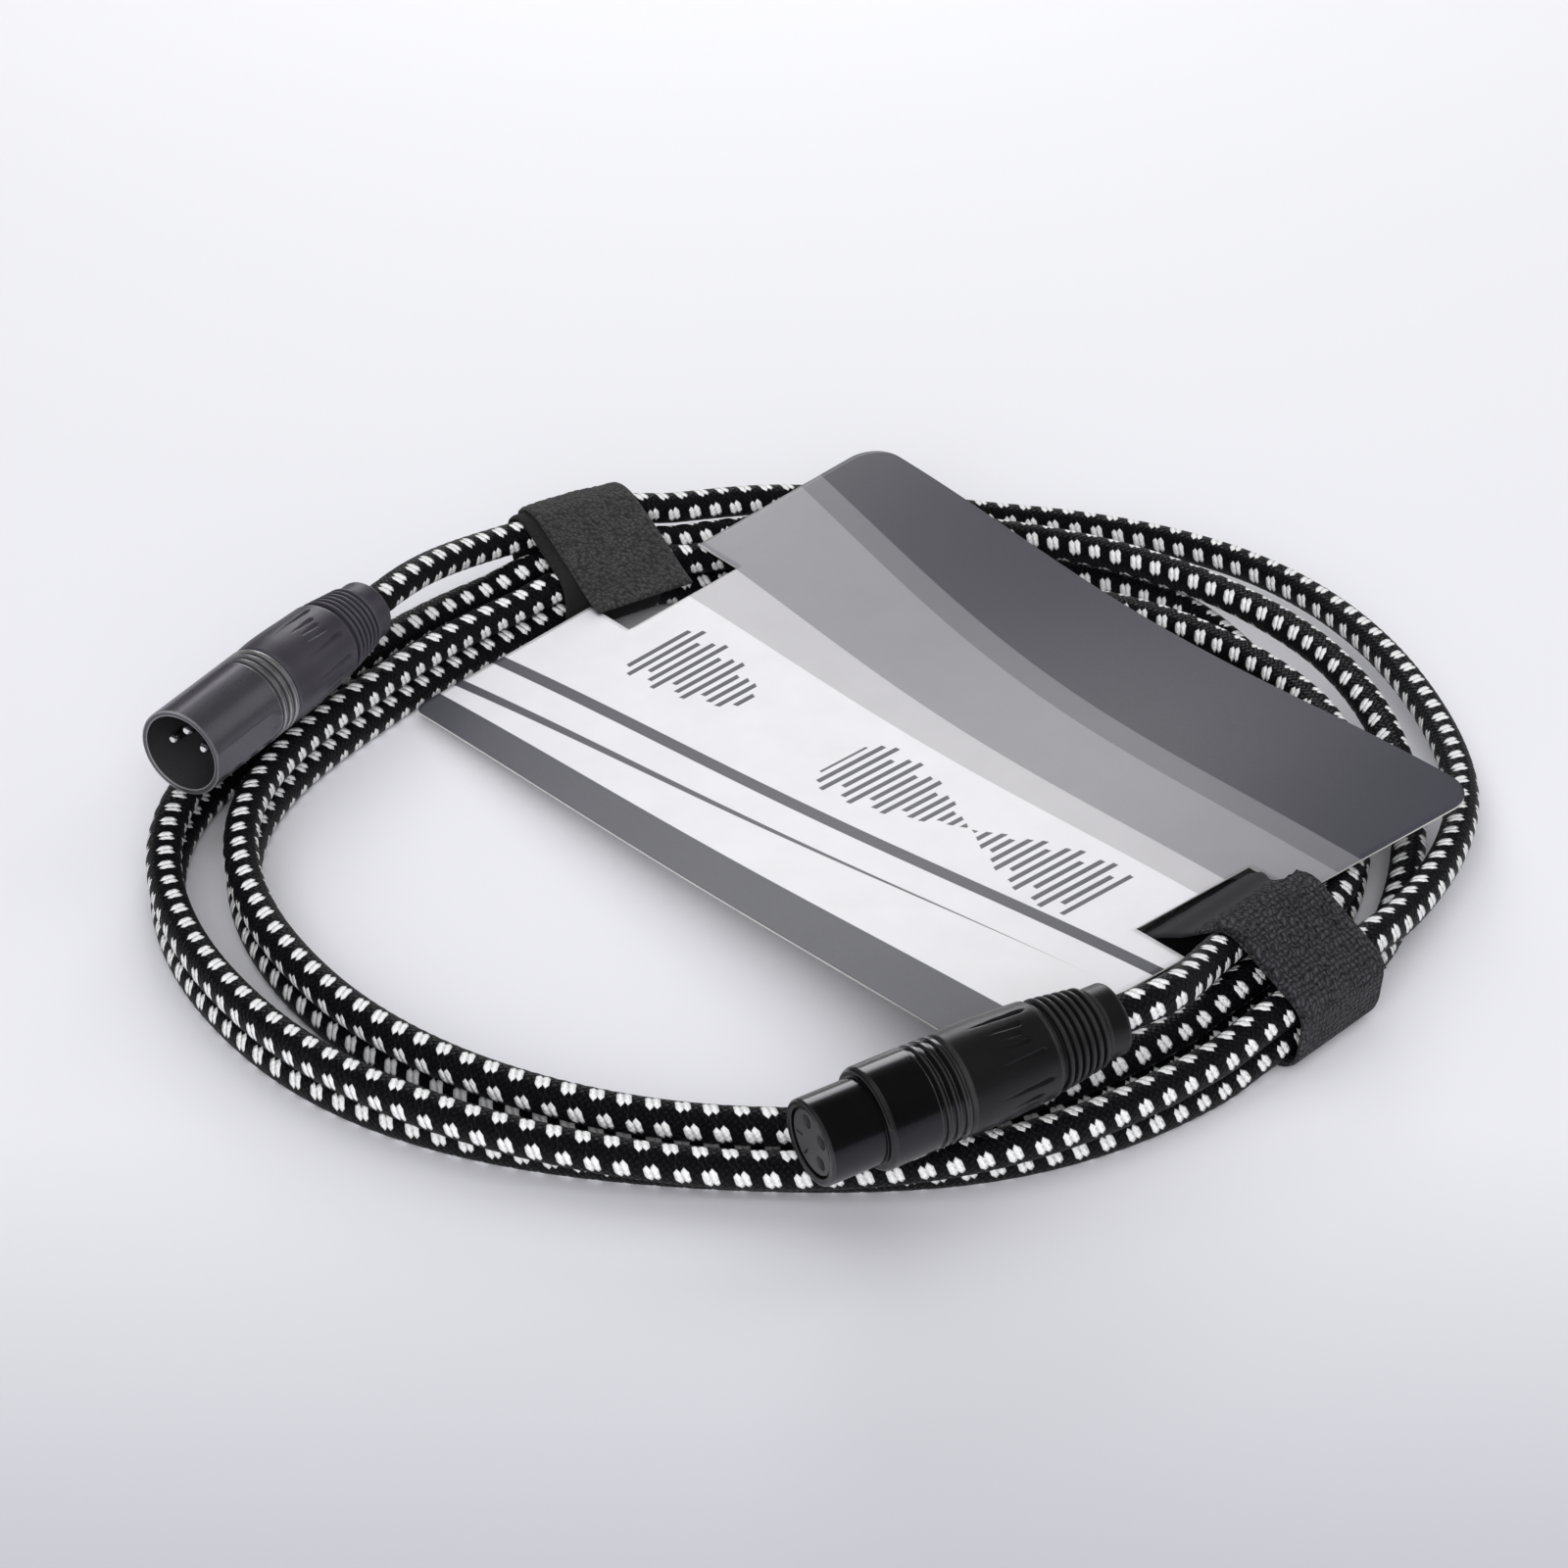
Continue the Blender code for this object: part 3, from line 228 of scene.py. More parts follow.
def weaveGroup():
    # threads in two directions that pass over and under each other, from flat places across and along
    group, given, result = newGroup("threadWeave", {"Across": 0.0, "Along": 0.0}, ("Height",))
    across, along = given["Across"], given["Along"]
    odd = modulo(absolute(plus(floored(across), floored(along))), 2.0)
    left, right = (absolute(sine(times(place, math.pi))) for place in (across, along))
    over = plus(times(left, odd), times(right, minus(1.0, odd)))
    under = times(left, right)
    feed(result["Height"], plus(times(over, 0.6), times(under, 0.4)))
    return group


fineGrain = fineGrainGroup()
threadWeave = weaveGroup()


def grained(tree, size):
    return node(tree, "Group", {"Place": objectPlace(tree), "Size": size}, node_tree=fineGrain)


def woven(across, along):
    inputs = {"Across": across, "Along": along}
    return node(across.id_data, "Group", inputs, node_tree=threadWeave)["Height"]


# camera, light and floor

view = {"place": (0.4228, -0.3695, 0.3739), "aim": (-0.00999, -0.00626, 0.007), "lens": 74.9, "sensor": 36.0}
lamps = {                                       # place, size, power, seen in reflections
    "sky": ((-0.12, 0.15, 1.5), 2.8, 25.0, False),
    "key": ((-0.95, 0.68, 0.50), 0.55, 4.2, True),
    "back": ((0.5, 1.3, 0.7), 0.9, 2.3, True),
    "fill": ((1.3, -1.3, 1.0), 1.9, 45.0, False),
}
world = {"Color": (0.95, 0.96, 1.0, 1.0), "Strength": 0.06}
# the paper's colour falls towards the camera as a painted shade, and rises again far behind it
paper = {                                       # metres, below in mm
    "front": (0.39, 0.39, 0.44, 1.0), "middle": (0.765, 0.765, 0.81, 1.0), "back": (0.83, 0.83, 0.86, 1.0),
    "steps": (-0.27, -0.10, 0.44), "behindCamera": (-0.32, -0.9), "away": (0.77, 0.64), "half": 10.0,
    # glow: emission far from the object, a painted light that keeps the far paper white
    "below": 0.15, "glowColour": (0.96, 0.96, 1.0, 1.0), "glow": (0.7, 2.4, 0.0, 0.6),
}


def pointed(name, data, place, aim=(0.0, 0.0, 0.0)):
    item = linked(name, data)
    item.location = place
    item.rotation_euler = (Vector(aim) - Vector(place)).to_track_quat("-Z", "Y").to_euler()
    return item


def placeCamera():
    data = bpy.data.cameras.new("productCamera")
    data.lens = view["lens"]
    data.sensor_width = view["sensor"]
    bpy.context.scene.camera = pointed("productCamera", data, view["place"], view["aim"])


def placeLamps():
    for name, (place, size, power, mirrored) in lamps.items():
        data = bpy.data.lights.new(name + "Light", "AREA")
        data.shape = "SQUARE"
        data.size = size
        data.energy = power
        pointed(name + "Light", data, place).visible_glossy = mirrored
    scene = bpy.context.scene
    scene.world = bpy.data.worlds.new("studio")
    scene.world.use_nodes = True
    for key, value in world.items():
        scene.world.node_tree.nodes["Background"].inputs[key].default_value = value
    scene.view_settings.view_transform = "Standard"


def placeFloor():
    # paper painted darker towards the camera, a painted shade in place of the lamps' fall-off, and glowing a
    # little far from the lamps, a painted light that keeps it white there
    corners = paper["half"] * np.array([[-1, -1, 0], [1, -1, 0], [1, 1, 0], [-1, 1, 0]])
    floor = meshPiece("floor", corners - upwards * paper["below"] * mm, np.array([[0, 1, 2, 3]]))
    material, tree = newMaterial("floorPaper")
    place = split(objectPlace(tree))
    toBack = minus(times(place[1], paper["away"][1]), times(place[0], paper["away"][0]))
    front, middle, back = paper["steps"]
    beyond = mixColour(span(toBack, middle, back), paper["middle"], paper["back"])
    lighter = larger(span(toBack, front, middle), span(toBack, *paper["behindCamera"]))
    distance = node(tree, "VectorMath", {0: objectPlace(tree)}, operation="LENGTH")["Value"]
    surface(tree, {"Base Color": mixColour(lighter, paper["front"], beyond), "Roughness": 0.75,
                   # the emission is painted light, strongest far from the object
                   "Specular IOR Level": 0.2, "Emission Color": paper["glowColour"],
                   "Emission Strength": span(distance, *paper["glow"])})
    painted(floor, material)


placeCamera()
placeLamps()
placeFloor()
print("stage: camera, lights and floor")


# cable: the same winding as the frame's coil, sampled as one smooth line

coil = {
    "diameter": 7.0 * mm, "layerPitch": 7.5 * mm, "flatDepth": 0.7 * mm, "innerPitch": 8.6 * mm,
    "centre": (2.4 * mm, 6.5 * mm), "rollReach": 1.16 * 7.0 * mm, "start": 4.0, "turns": 4.5,
    "startShift": 2.5, "strapAngles": (10.4, 171.6), "strapHalf": 8.0, "strapRise": 1.5 * mm,
    "radii": (111.2, 111.0, 109.0, 97.0, 93.0, 91.5, 92.0, 98.5, 117.0, 120.5, 119.9, 117.0),
    "pitches": (10.5, 10.5, 12.5, 19.0, 14.0, 9.8, 10.0, 11.5, 15.0, 14.5, 12.0, 12.0),
    "sides": 32, "step": 1.35 * mm, "tickPitch": 5.2 * mm, "lead": 1.2 * 7.0 * mm, "ripple": 0.06 * mm,
    "ripplePitch": 2.6 * mm, "rollFrom": 115.0, "rollBy": 80.0, "tuckAt": 315.0, "tuckHalf": 28.0,
    "moves": {                              # from and to these angles of a turn
        "roll": (4.0, 20.0), "firstRises": (95.0, 125.0), "firstShifts": (105.0, 147.0),
        "secondSinks": (81.0, 123.0), "thirdLeaves": (57.0, 99.0), "fourthRises": (33.0, 75.0),
        "lastLeaves": (9.0, 51.0), "lastSinks": (16.0, 58.0), "lastReturns": (118.0, 150.0),
        "lastSettles": (145.0, 168.0),
    },
}
femaleFace = np.array([106.3, -83.7, 22.2]) * mm
femaleTail = np.array([116.8, -23.6, 25.2]) * mm
maleFace = np.array([-65.8, -102.1, 24.2]) * mm
maleTail = np.array([-90.1, -41.1, 24.2]) * mm
femaleWay, maleWay = unit(femaleTail - femaleFace), unit(maleTail - maleFace)
cableStart = {"female": 38.6 * mm, "male": 39.0 * mm}       # from the face to the cable's cut end


def aroundRing(values, angle):
    # periodic curve through values given at equal steps of the circle
    values = np.array(values)
    place = (angle % 360.0) / 360.0 * len(values)
    index = place.astype(int)
    part = place - index
    a, b, c, d = (values[(index + k) % len(values)] for k in (-1, 0, 1, 2))
    return 0.5 * (2 * b + (c - a) * part + (2 * a - 5 * b + 4 * c - d) * part ** 2
                  + (3 * b - 3 * c + d - a) * part ** 3)


def lane(turnAngle):
    # column and layer at an angle that grows by 360 with each turn, from the top turn down and outwards
    turn = np.floor(turnAngle / 360.0)
    angle = turnAngle - 360.0 * turn
    which = [turn == k for k in range(4)]
    move = {name: smoothStep(angle, *ends) for name, ends in coil["moves"].items()}
    roll = np.radians(coil["rollFrom"] + coil["rollBy"] * move["roll"])
    firstColumn = coil["rollReach"] * np.cos(roll) / coil["innerPitch"] * (1.0 - move["firstShifts"])
    firstLayer = 1.0 + coil["rollReach"] * np.sin(roll) / coil["layerPitch"]
    firstLayer = firstLayer + (1.0 - firstLayer) * move["firstRises"]
    back, settle = move["lastReturns"], move["lastSettles"]
    inner = 0.0 * angle
    column = np.select(which, [firstColumn, inner, move["thirdLeaves"], inner + 1.0],
                       1.0 + move["lastLeaves"] - 0.30 * back - 0.26 * settle)
    layer = np.select(which, [firstLayer, 1.0 - move["secondSinks"], inner, move["fourthRises"]],
                      1.0 - 0.45 * move["lastSinks"] + 1.03 * back + 0.32 * settle)
    return column, layer


def ringPoints(turnAngle):
    column, layer = lane(turnAngle)
    angle = turnAngle % 360.0
    tuck = np.exp(-(turnFrom(coil["tuckAt"], angle) / coil["tuckHalf"]) ** 2)      # the turns draw in there
    pitch = np.where(column > 0, aroundRing(coil["pitches"], angle) * mm, coil["innerPitch"])
    outer, lower = np.clip(column, 0.0, 1.0), 1.0 - np.clip(layer, 0.0, 1.0)
    radius = aroundRing(coil["radii"], angle) * mm + column * pitch
    radius -= tuck * lower * (4.5 + 4.1 * outer) * mm + tuck ** 2 * (1.0 - lower) * outer * 2.2 * mm
    height = coil["diameter"] / 2 - coil["flatDepth"] + layer * coil["layerPitch"]
    height -= tuck ** 2 * (1.0 - lower) * outer * 1.8 * mm
    for strapAngle in coil["strapAngles"]:
        over = coil["strapHalf"] + 6.0 - np.abs(turnFrom(strapAngle, angle))
        height += coil["strapRise"] * smoothStep(over, 0.0, 6.0)
    turn = np.radians(turnAngle)
    x, y = coil["centre"]
    return np.stack([x + radius * np.cos(turn), y + radius * np.sin(turn), height], axis=-1)


def shifted(angle):
    # the ring begins and ends a little earlier, away from the first strap
    return angle - coil["startShift"] * (1.0 - math.cos(math.radians(angle - coil["strapAngles"][0])))


def hermite(start, startWay, end, endWay, count):
    # cubic between two points that keeps both directions
    reach = np.linalg.norm(end - start)
    t = np.linspace(0.0, 1.0, count + 1)[:, None]
    return (start * (2 * t ** 3 - 3 * t ** 2 + 1) + startWay * reach * (t ** 3 - 2 * t ** 2 + t)
            + end * (3 * t ** 2 - 2 * t ** 3) + endWay * reach * (t ** 3 - t ** 2))


def cableLine():
    ring = ringPoints(np.arange(shifted(coil["start"]), shifted(coil["start"] + 360.0 * coil["turns"]), 0.5))
    leave, arrive = femaleTail + femaleWay * coil["lead"], maleTail + maleWay * coil["lead"]
    parts = [[femaleFace + femaleWay * cableStart["female"], femaleTail],
             hermite(leave, femaleWay, ring[0], unit(ring[4] - ring[0]), 30)[:-1], ring,
             hermite(ring[-1], unit(ring[-1] - ring[-5]), arrive, -maleWay, 30)[1:],
             [maleTail, maleFace + maleWay * cableStart["male"]]]
    rough = np.concatenate([np.array(part) for part in parts]) + planShift
    line = evenSteps(rough, coil["step"])[0]
    for _ in range(6):                              # takes the corners off the joins
        line[1:-1] = 0.5 * line[1:-1] + 0.25 * (line[:-2] + line[2:])
    return line


def carriedFrames(line):
    # directions across a path that turn with it and never twist about it
    way = unit(np.gradient(line, axis=0))
    side = np.empty_like(way)
    side[0] = unit(np.cross(way[0], upwards))
    for k in range(1, len(way)):
        flat = side[k - 1] - way[k] * (side[k - 1] @ way[k])
        side[k] = flat / math.sqrt(flat @ flat)
    return way, side, np.cross(way, side)


def makeCable():
    # a circle carried along the path; the braid swells and sinks a little, and rests flat on the floor
    line, sides = cableLine(), coil["sides"]
    way, side, up = carriedFrames(line)
    along = runOf(line)
    share = np.arange(sides) / sides
    drift = 0.35 + 0.45 * np.sin(along / 0.21) + 0.3 * np.sin(along / 0.083 + 1.0)
    turn = 2 * math.pi * share[None, :] + drift[:, None]
    ripple = np.sin(2 * math.pi * along[:, None] / coil["ripplePitch"]) * np.cos(8 * math.pi * share)
    radius = coil["diameter"] / 2 + coil["ripple"] * ripple
    points = (line[:, None] + (radius * np.cos(turn))[..., None] * side[:, None]
              + (radius * np.sin(turn))[..., None] * up[:, None])
    points[..., 2] = np.maximum(points[..., 2], 0.0)
    uv = np.stack(np.broadcast_arrays(share, along[:, None] / coil["tickPitch"]), axis=-1)
    faces = gridFaces(len(line), sides, False, True)
    caps = endRings(len(line), sides)
    piece = meshPiece("cableBraid", points.reshape(-1, 3), faces, caps, uv.reshape(-1, 2))
    return piece, line, float(along[-1])


braid = {                                       # lengths in mm, measured across and along the cable
    "rows": 4.0, "rowWidth": 5.5, "pitch": 5.2, "lean": 0.30, "strokeAt": 0.68, "strokeHalf": 0.76,
    "strokeLength": 1.65, "longer": 0.25, "slip": 0.20, "stray": 0.35, "taper": 0.8, "thread": 1.25,
    "threadLean": 0.95, "white": (0.94, 0.94, 0.95), "black": colour((0.002, 0.002, 0.003)),
    "blackHigh": colour((0.013, 0.012, 0.015)),
}


def braidMaterial():
    # four rows of tracer ticks round the cable, each two slanted strokes, on fine black threads
    material, tree = newMaterial("tracerBraid")
    uv = split(node(tree, "TexCoord", {})["UV"])
    quarter = times(uv[0], braid["rows"])
    row = floored(quarter)
    across = times(minus(fraction(quarter), 0.5), braid["rowWidth"])
    staggered = plus(uv[1], times(modulo(row, 2.0), 0.5))
    along = times(minus(fraction(staggered), 0.5), braid["pitch"])
    tick = node(tree, "CombineXYZ", {0: row, 1: floored(staggered)})[0]
    chance = node(tree, "TexWhiteNoise", {"Vector": tick}, noise_dimensions="2D")[0]
    leaning = minus(along, times(across, braid["lean"]))
    leaning = plus(leaning, times(minus(chance, 0.5), braid["stray"]))
    offset = minus(absolute(leaning), braid["strokeAt"])
    slipped = plus(across, times(signOf(leaning), braid["slip"]))
    length = plus(braid["strokeLength"], times(chance, braid["longer"]))
    reach = minus(length, absolute(slipped))
    width = times(span(reach, 0.0, braid["taper"]), braid["strokeHalf"])
    margin = minus(width, absolute(offset))
    white, crown = span(margin, -0.02, 0.12), span(margin, -0.05, 0.5)
    aslant = times(across, braid["threadLean"])
    weave = woven(times(plus(along, aslant), 1 / braid["thread"]),
                  times(minus(along, aslant), 1 / braid["thread"]))
    fibre = noise(tree, 2600.0, 2.0)
    darkShare = times(power(weave, 2.0), span(fibre, 0.35, 0.7))
    dark = mixColour(darkShare, braid["black"], braid["blackHigh"])
    lit = times(span(crown, 0.0, 1.0, 0.72, 1.0), span(fibre, 0.3, 0.7, 0.86, 1.0))
    height = plus(times(crown, 0.9), times(weave, 0.45))
    surface(tree, {"Base Color": mixColour(white, dark, scaled(braid["white"], lit)),
                   "Roughness": span(white, 0.0, 1.0, 0.50, 0.8), "Specular IOR Level": 0.15},
            plus(height, times(fibre, 0.12)), 0.35)
    return material


cable, cableCentre, cableLength = makeCable()
finished(cable, braidMaterial(), "root", "braid", "cable_coil")
print(f"cable: {cableLength:.3f} m of braid, {len(cableCentre)} rings")


# connectors: outlines of (radius, place along the axis, rounding) in mm, turned about each connector's axis

connector = {
    "shell": 9.5, "sleeve": 7.3, "sleeveLength": 9.0, "wallBore": 5.8, "grooves": 3, "grooveDepth": 0.55,
    "groovePitch": 1.9, "grooveWidth": 1.0, "sides": 192,
    "female": {"bore": 6.8, "lip": 6.53, "nose": 7.95, "noseLength": 11.0, "bodyEnd": 27.0, "length": 62.0,
               "seat": 18.7, "latchFloor": 7.2, "latchHalf": 5.1, "hookHalf": 3.1, "latch": (6.0, 18.9),
               "latchTurn": 326.0},
    "male": {"bore": 8.3, "bodyEnd": 27.4, "length": 65.0, "insertBore": 6.8, "flangeEnd": 20.9, "step": 26.9,
             "panelTurn": 186.0, "panelEnd": 20.1, "panelDepth": 0.5, "panelArch": 18.0},
}
boots = {
    "top": 9.6, "front": 9.3, "neck": 8.7, "tail": 6.8, "ribs": 6, "ribZone": 10.0, "ribDepth": 1.0,
    "collar": 5.0, "hole": 3.75, "clamp": 6.6, "clampTail": 5.5, "clampLength": 12.0, "spigot": 7.6,
    "spigotLength": 9.3,
    "grips": ((-28.0, 0.78), (-11.0, 0.46), (0.0, 0.36), (11.0, 0.46), (28.0, 0.78)), "groups": 4,
    "firstGroup": 22.0, "gripDepth": 0.6, "gripHalf": 0.62, "gripPlace": 0.57, "gripReach": 0.78,
    "sides": 288,
}


def axisFrame(face, way):
    # the connector's face, and the directions to its side, up and towards its tail
    up = unit(upwards - way * way[2])
    return face + planShift, np.cross(up, way), up, way


seats = {"female": axisFrame(femaleFace, femaleWay), "male": axisFrame(maleFace, maleWay)}


def softOutline(corners, closed, longest, steps=4):
    # every corner becomes a short parabola; a point just before and after it keeps the flats flat;
    # the third number is 1 on the outward corners, where a finish rubs off first
    spots = np.array([corner[:2] for corner in corners], dtype=float)
    count = len(spots)
    ahead = np.roll(spots, -1, axis=0)
    area = np.sum(spots[:, 1] * ahead[:, 0] - ahead[:, 1] * spots[:, 0])
    line = []
    for k, here in enumerate(spots):
        if not closed and k in (0, count - 1):
            line.append([*here, 0.0])
            continue
        back, on = spots[k - 1] - here, spots[(k + 1) % count] - here
        backLength, onLength = np.linalg.norm(back), np.linalg.norm(on)
        back, on = back / backLength, on / onLength
        rounding = min(corners[k][2], 0.45 * backLength, 0.45 * onLength)
        turn = (back[0] * on[1] - back[1] * on[0]) * np.sign(area)
        outward = 1.0 if turn > 0 and rounding < 1.0 else 0.0
        if backLength > 2 * rounding + 0.4:
            line.append([*(here + back * (rounding + 0.12)), 0.0])
        start, end = here + back * rounding, here + on * rounding
        line += [[*(start * (1 - t) ** 2 + 2 * here * t * (1 - t) + end * t ** 2), outward]
                 for t in np.linspace(0.0, 1.0, steps + 1)]
        if onLength > 2 * rounding + 0.4:
            line.append([*(here + on * (rounding + 0.12)), 0.0])
    line = np.array(line)
    if longest is None:
        return line
    dense = []
    for here, after in zip(line, np.roll(line, -1, axis=0)):
        parts = max(1, math.ceil(np.linalg.norm(after[:2] - here[:2]) / longest))
        dense += [here * (1 - t) + after * t for t in np.arange(parts) / parts]
    return np.array(dense)


def turnedPiece(name, corners, seat, sides, change=None, longest=None, closed=True, centre=(0.0, 0.0)):
    # radius as a function of the turn and the place along the outline, carried once round the axis
    line = softOutline(corners, closed, longest)
    turn = 2 * math.pi * np.arange(sides) / sides
    radius, along, edge = (np.repeat(line[:, k:k + 1], sides, axis=1) for k in range(3))
    if change is not None:
        radius = change(radius, along, np.degrees(turn)[None, :])
    face, side, up, way = seat
    x, y = centre[0] + radius * np.cos(turn), centre[1] + radius * np.sin(turn)
    points = face + mm * (x[..., None] * side + y[..., None] * up + along[..., None] * way)
    faces = gridFaces(len(line), sides, closed, True)
    caps = () if closed else endRings(len(line), sides)
    return meshPiece(name, points.reshape(-1, 3), faces, caps, values={"rubbed": edge})


def rearCorners(bodyEnd):
    # the ring grooves before the body's end, then the sleeve that goes into the boot
    shell, sleeve, inner = connector["shell"], connector["sleeve"], connector["wallBore"]
    floor = shell - connector["grooveDepth"]
    corners = []
    for index in reversed(range(connector["grooves"])):
        end = bodyEnd - 1.0 - index * connector["groovePitch"]
        start = end - connector["grooveWidth"]
        corners += [(shell, start, 0.22), (floor, start + 0.15, 0.12), (floor, end - 0.15, 0.12),
                    (shell, end, 0.22)]
    end = bodyEnd + connector["sleeveLength"]
    return corners + [(shell, bodyEnd, 0.3), (sleeve, bodyEnd, 0.1), (sleeve, end, 0.3), (inner, end, 0.2)]


def latchChannel(radius, along, turn):
    # a flat-floored channel through the body and a narrower one in the nose, open towards the front
    size = connector["female"]
    away = np.radians(turnFrom(size["latchTurn"], turn))
    sideways = radius * np.sin(away)
    low, high = size["latch"]
    body = (along > size["noseLength"] - 0.1) & (along < high) & (np.abs(sideways) < size["latchHalf"])
    nose = (along > low) & (along < size["noseLength"] + 1.0) & (np.abs(sideways) < size["hookHalf"])
    floor = size["latchFloor"] / np.maximum(np.cos(away), 0.3)
    inside = (body | nose) & (np.abs(np.degrees(away)) < 60.0) & (radius > size["latchFloor"])
    return np.where(inside, np.minimum(radius, floor), radius)


def femaleShellPiece():
    size, shell = connector["female"], connector["shell"]
    bore, lip, nose, shoulder = size["bore"], size["lip"], size["nose"], size["noseLength"]
    corners = [(bore, 2.0, 0.05), (lip, 2.0, 0.05), (lip, 0.2, 0.15), (nose - 0.35, 0.0, 0.25),
               (nose, 0.4, 0.4), (nose, shoulder, 0.15), (shell - 0.5, shoulder, 0.2),
               (shell, shoulder + 0.7, 0.55)]
    corners += rearCorners(size["bodyEnd"])
    corners += [(connector["wallBore"], size["seat"], 0.1), (bore, size["seat"], 0.1)]
    return turnedPiece("femaleBody", corners, seats["female"], connector["sides"], latchChannel, 0.8)


def maleShellPiece():
    size, shell = connector["male"], connector["shell"]

    def panel(radius, along, turn):
        # a flat sunk into one side, from the rim to a rounded inner end
        away = np.radians(turnFrom(size["panelTurn"], turn))
        flat = (shell - size["panelDepth"]) / np.maximum(np.cos(away), 0.5)
        end = size["panelEnd"] - size["panelArch"] * away ** 2
        sunk = np.minimum(radius, flat + 2.0 * smoothStep(along, end - 0.2, end + 0.6))
        return np.where((np.abs(away) < 0.6) & (radius > shell - 1.0), sunk, radius)

    bore, insert, step, flange = size["bore"], size["insertBore"], size["step"], size["flangeEnd"]
    corners = [(bore, 0.0, 0.15), (shell, 0.0, 0.25)] + rearCorners(size["bodyEnd"])
    corners += [(connector["wallBore"], step, 0.1), (insert, step, 0.1), (insert, flange, 0.1),
                (bore, flange, 0.1)]
    return turnedPiece("maleBarrel", corners, seats["male"], connector["sides"], panel, 0.8)


def bootPiece(kind):
    # barrel with tapered grip lines, ribs that get smaller, and a plain collar at the tail
    size = connector[kind]
    start, length = size["bodyEnd"] + 0.3, size["length"]
    collar = length - boots["collar"]
    ribs = collar - boots["ribZone"]
    top, front, neck, tail = boots["top"], boots["front"], boots["neck"], boots["tail"]
    corners = [(front - 0.4, start, 0.25), (front + 0.05, start + 0.6, 0.3), (top, start + 4.0, 1.6),
               (top, start + 8.0, 3.0), (neck + 0.35, ribs - 1.3, 0.3), (neck + 0.25, ribs - 0.9, 0.15),
               (neck - 0.35, ribs - 0.8, 0.15), (neck - 0.35, ribs - 0.2, 0.1)]
    pitch = boots["ribZone"] / boots["ribs"]
    for index in range(boots["ribs"]):
        share = index / boots["ribs"]
        crest = neck * (1 - share) + (tail + 0.6) * share
        place = ribs + index * pitch
        floor = crest - boots["ribDepth"]
        corners += [(floor, place + 0.05, 0.25), (floor, place + 0.4 * pitch, 0.25),
                    (crest, place + 0.52 * pitch, 0.35), (crest, place + 0.92 * pitch, 0.35)]
    corners += [(tail - 0.4, collar + 0.1, 0.2), (tail, collar + 0.8, 0.3), (tail, length, 0.6),
                (boots["hole"], length, 0.3)]
    seatEnd = size["bodyEnd"] + connector["sleeveLength"] + boots["clampLength"] + 0.9
    clamp, spigot, spigotEnd = boots["clamp"], boots["spigot"], start + boots["spigotLength"]
    corners += [(boots["hole"], seatEnd, 0.1), (boots["clampTail"], seatEnd, 0.1),
                (clamp, seatEnd - 4.0, 0.1), (clamp, spigotEnd, 0.1), (spigot, spigotEnd, 0.1),
                (spigot, start, 0.2)]
    barrel = ribs - start

    def grips(radius, along, turn):
        depth = 0.0 * radius + 0.0 * turn
        outside = smoothStep(radius, neck - 0.4, neck)
        for group in range(boots["groups"]):
            for offset, share in boots["grips"]:
                middle = group * 360.0 / boots["groups"] + boots["firstGroup"] + offset
                arc = np.radians(turnFrom(middle, turn)) * top
                half = barrel * share * boots["gripReach"] / 2
                place = (along - start - barrel * boots["gripPlace"]) / half      # -1 in front, 1 at the rear
                taper = np.clip((place + 1.0) / 2.0, 0.0, 1.0) ** 0.7 * smoothStep(1.0 - place, 0.0, 0.25)
                width = boots["gripHalf"] * taper + 1e-6
                depth = np.maximum(depth, np.clip(1.0 - (arc / width) ** 2, 0.0, 1.0) * taper)
        return radius - boots["gripDepth"] * depth * outside

    return turnedPiece(kind + "Sleeve", corners, seats[kind], boots["sides"], grips, 0.35)


contacts = {"places": ((3.81, 0.70), (-3.81, 0.70), (0.0, 3.87)), "pin": 1.2, "tip": 2.3, "seat": 26.6,
            "cup": 4.0, "sides": 40}


def pinPiece(index, place):
    tip, end, pin = contacts["tip"], contacts["seat"], contacts["pin"]
    rear = end + contacts["cup"]
    corners = [(0.06, tip), (pin * 0.62, tip + 0.02, 0.3), (pin, tip + 0.75, 0.4),
               (pin, end + 0.3, 0.05), (pin + 0.35, end + 0.3, 0.05), (pin + 0.35, rear, 0.1),
               (0.7, rear, 0.1), (0.7, end + 0.8, 0.1), (0.06, end + 0.8)]
    return turnedPiece(f"pinTurned{index + 1}", corners, seats["male"], contacts["sides"], closed=False,
                       centre=place)


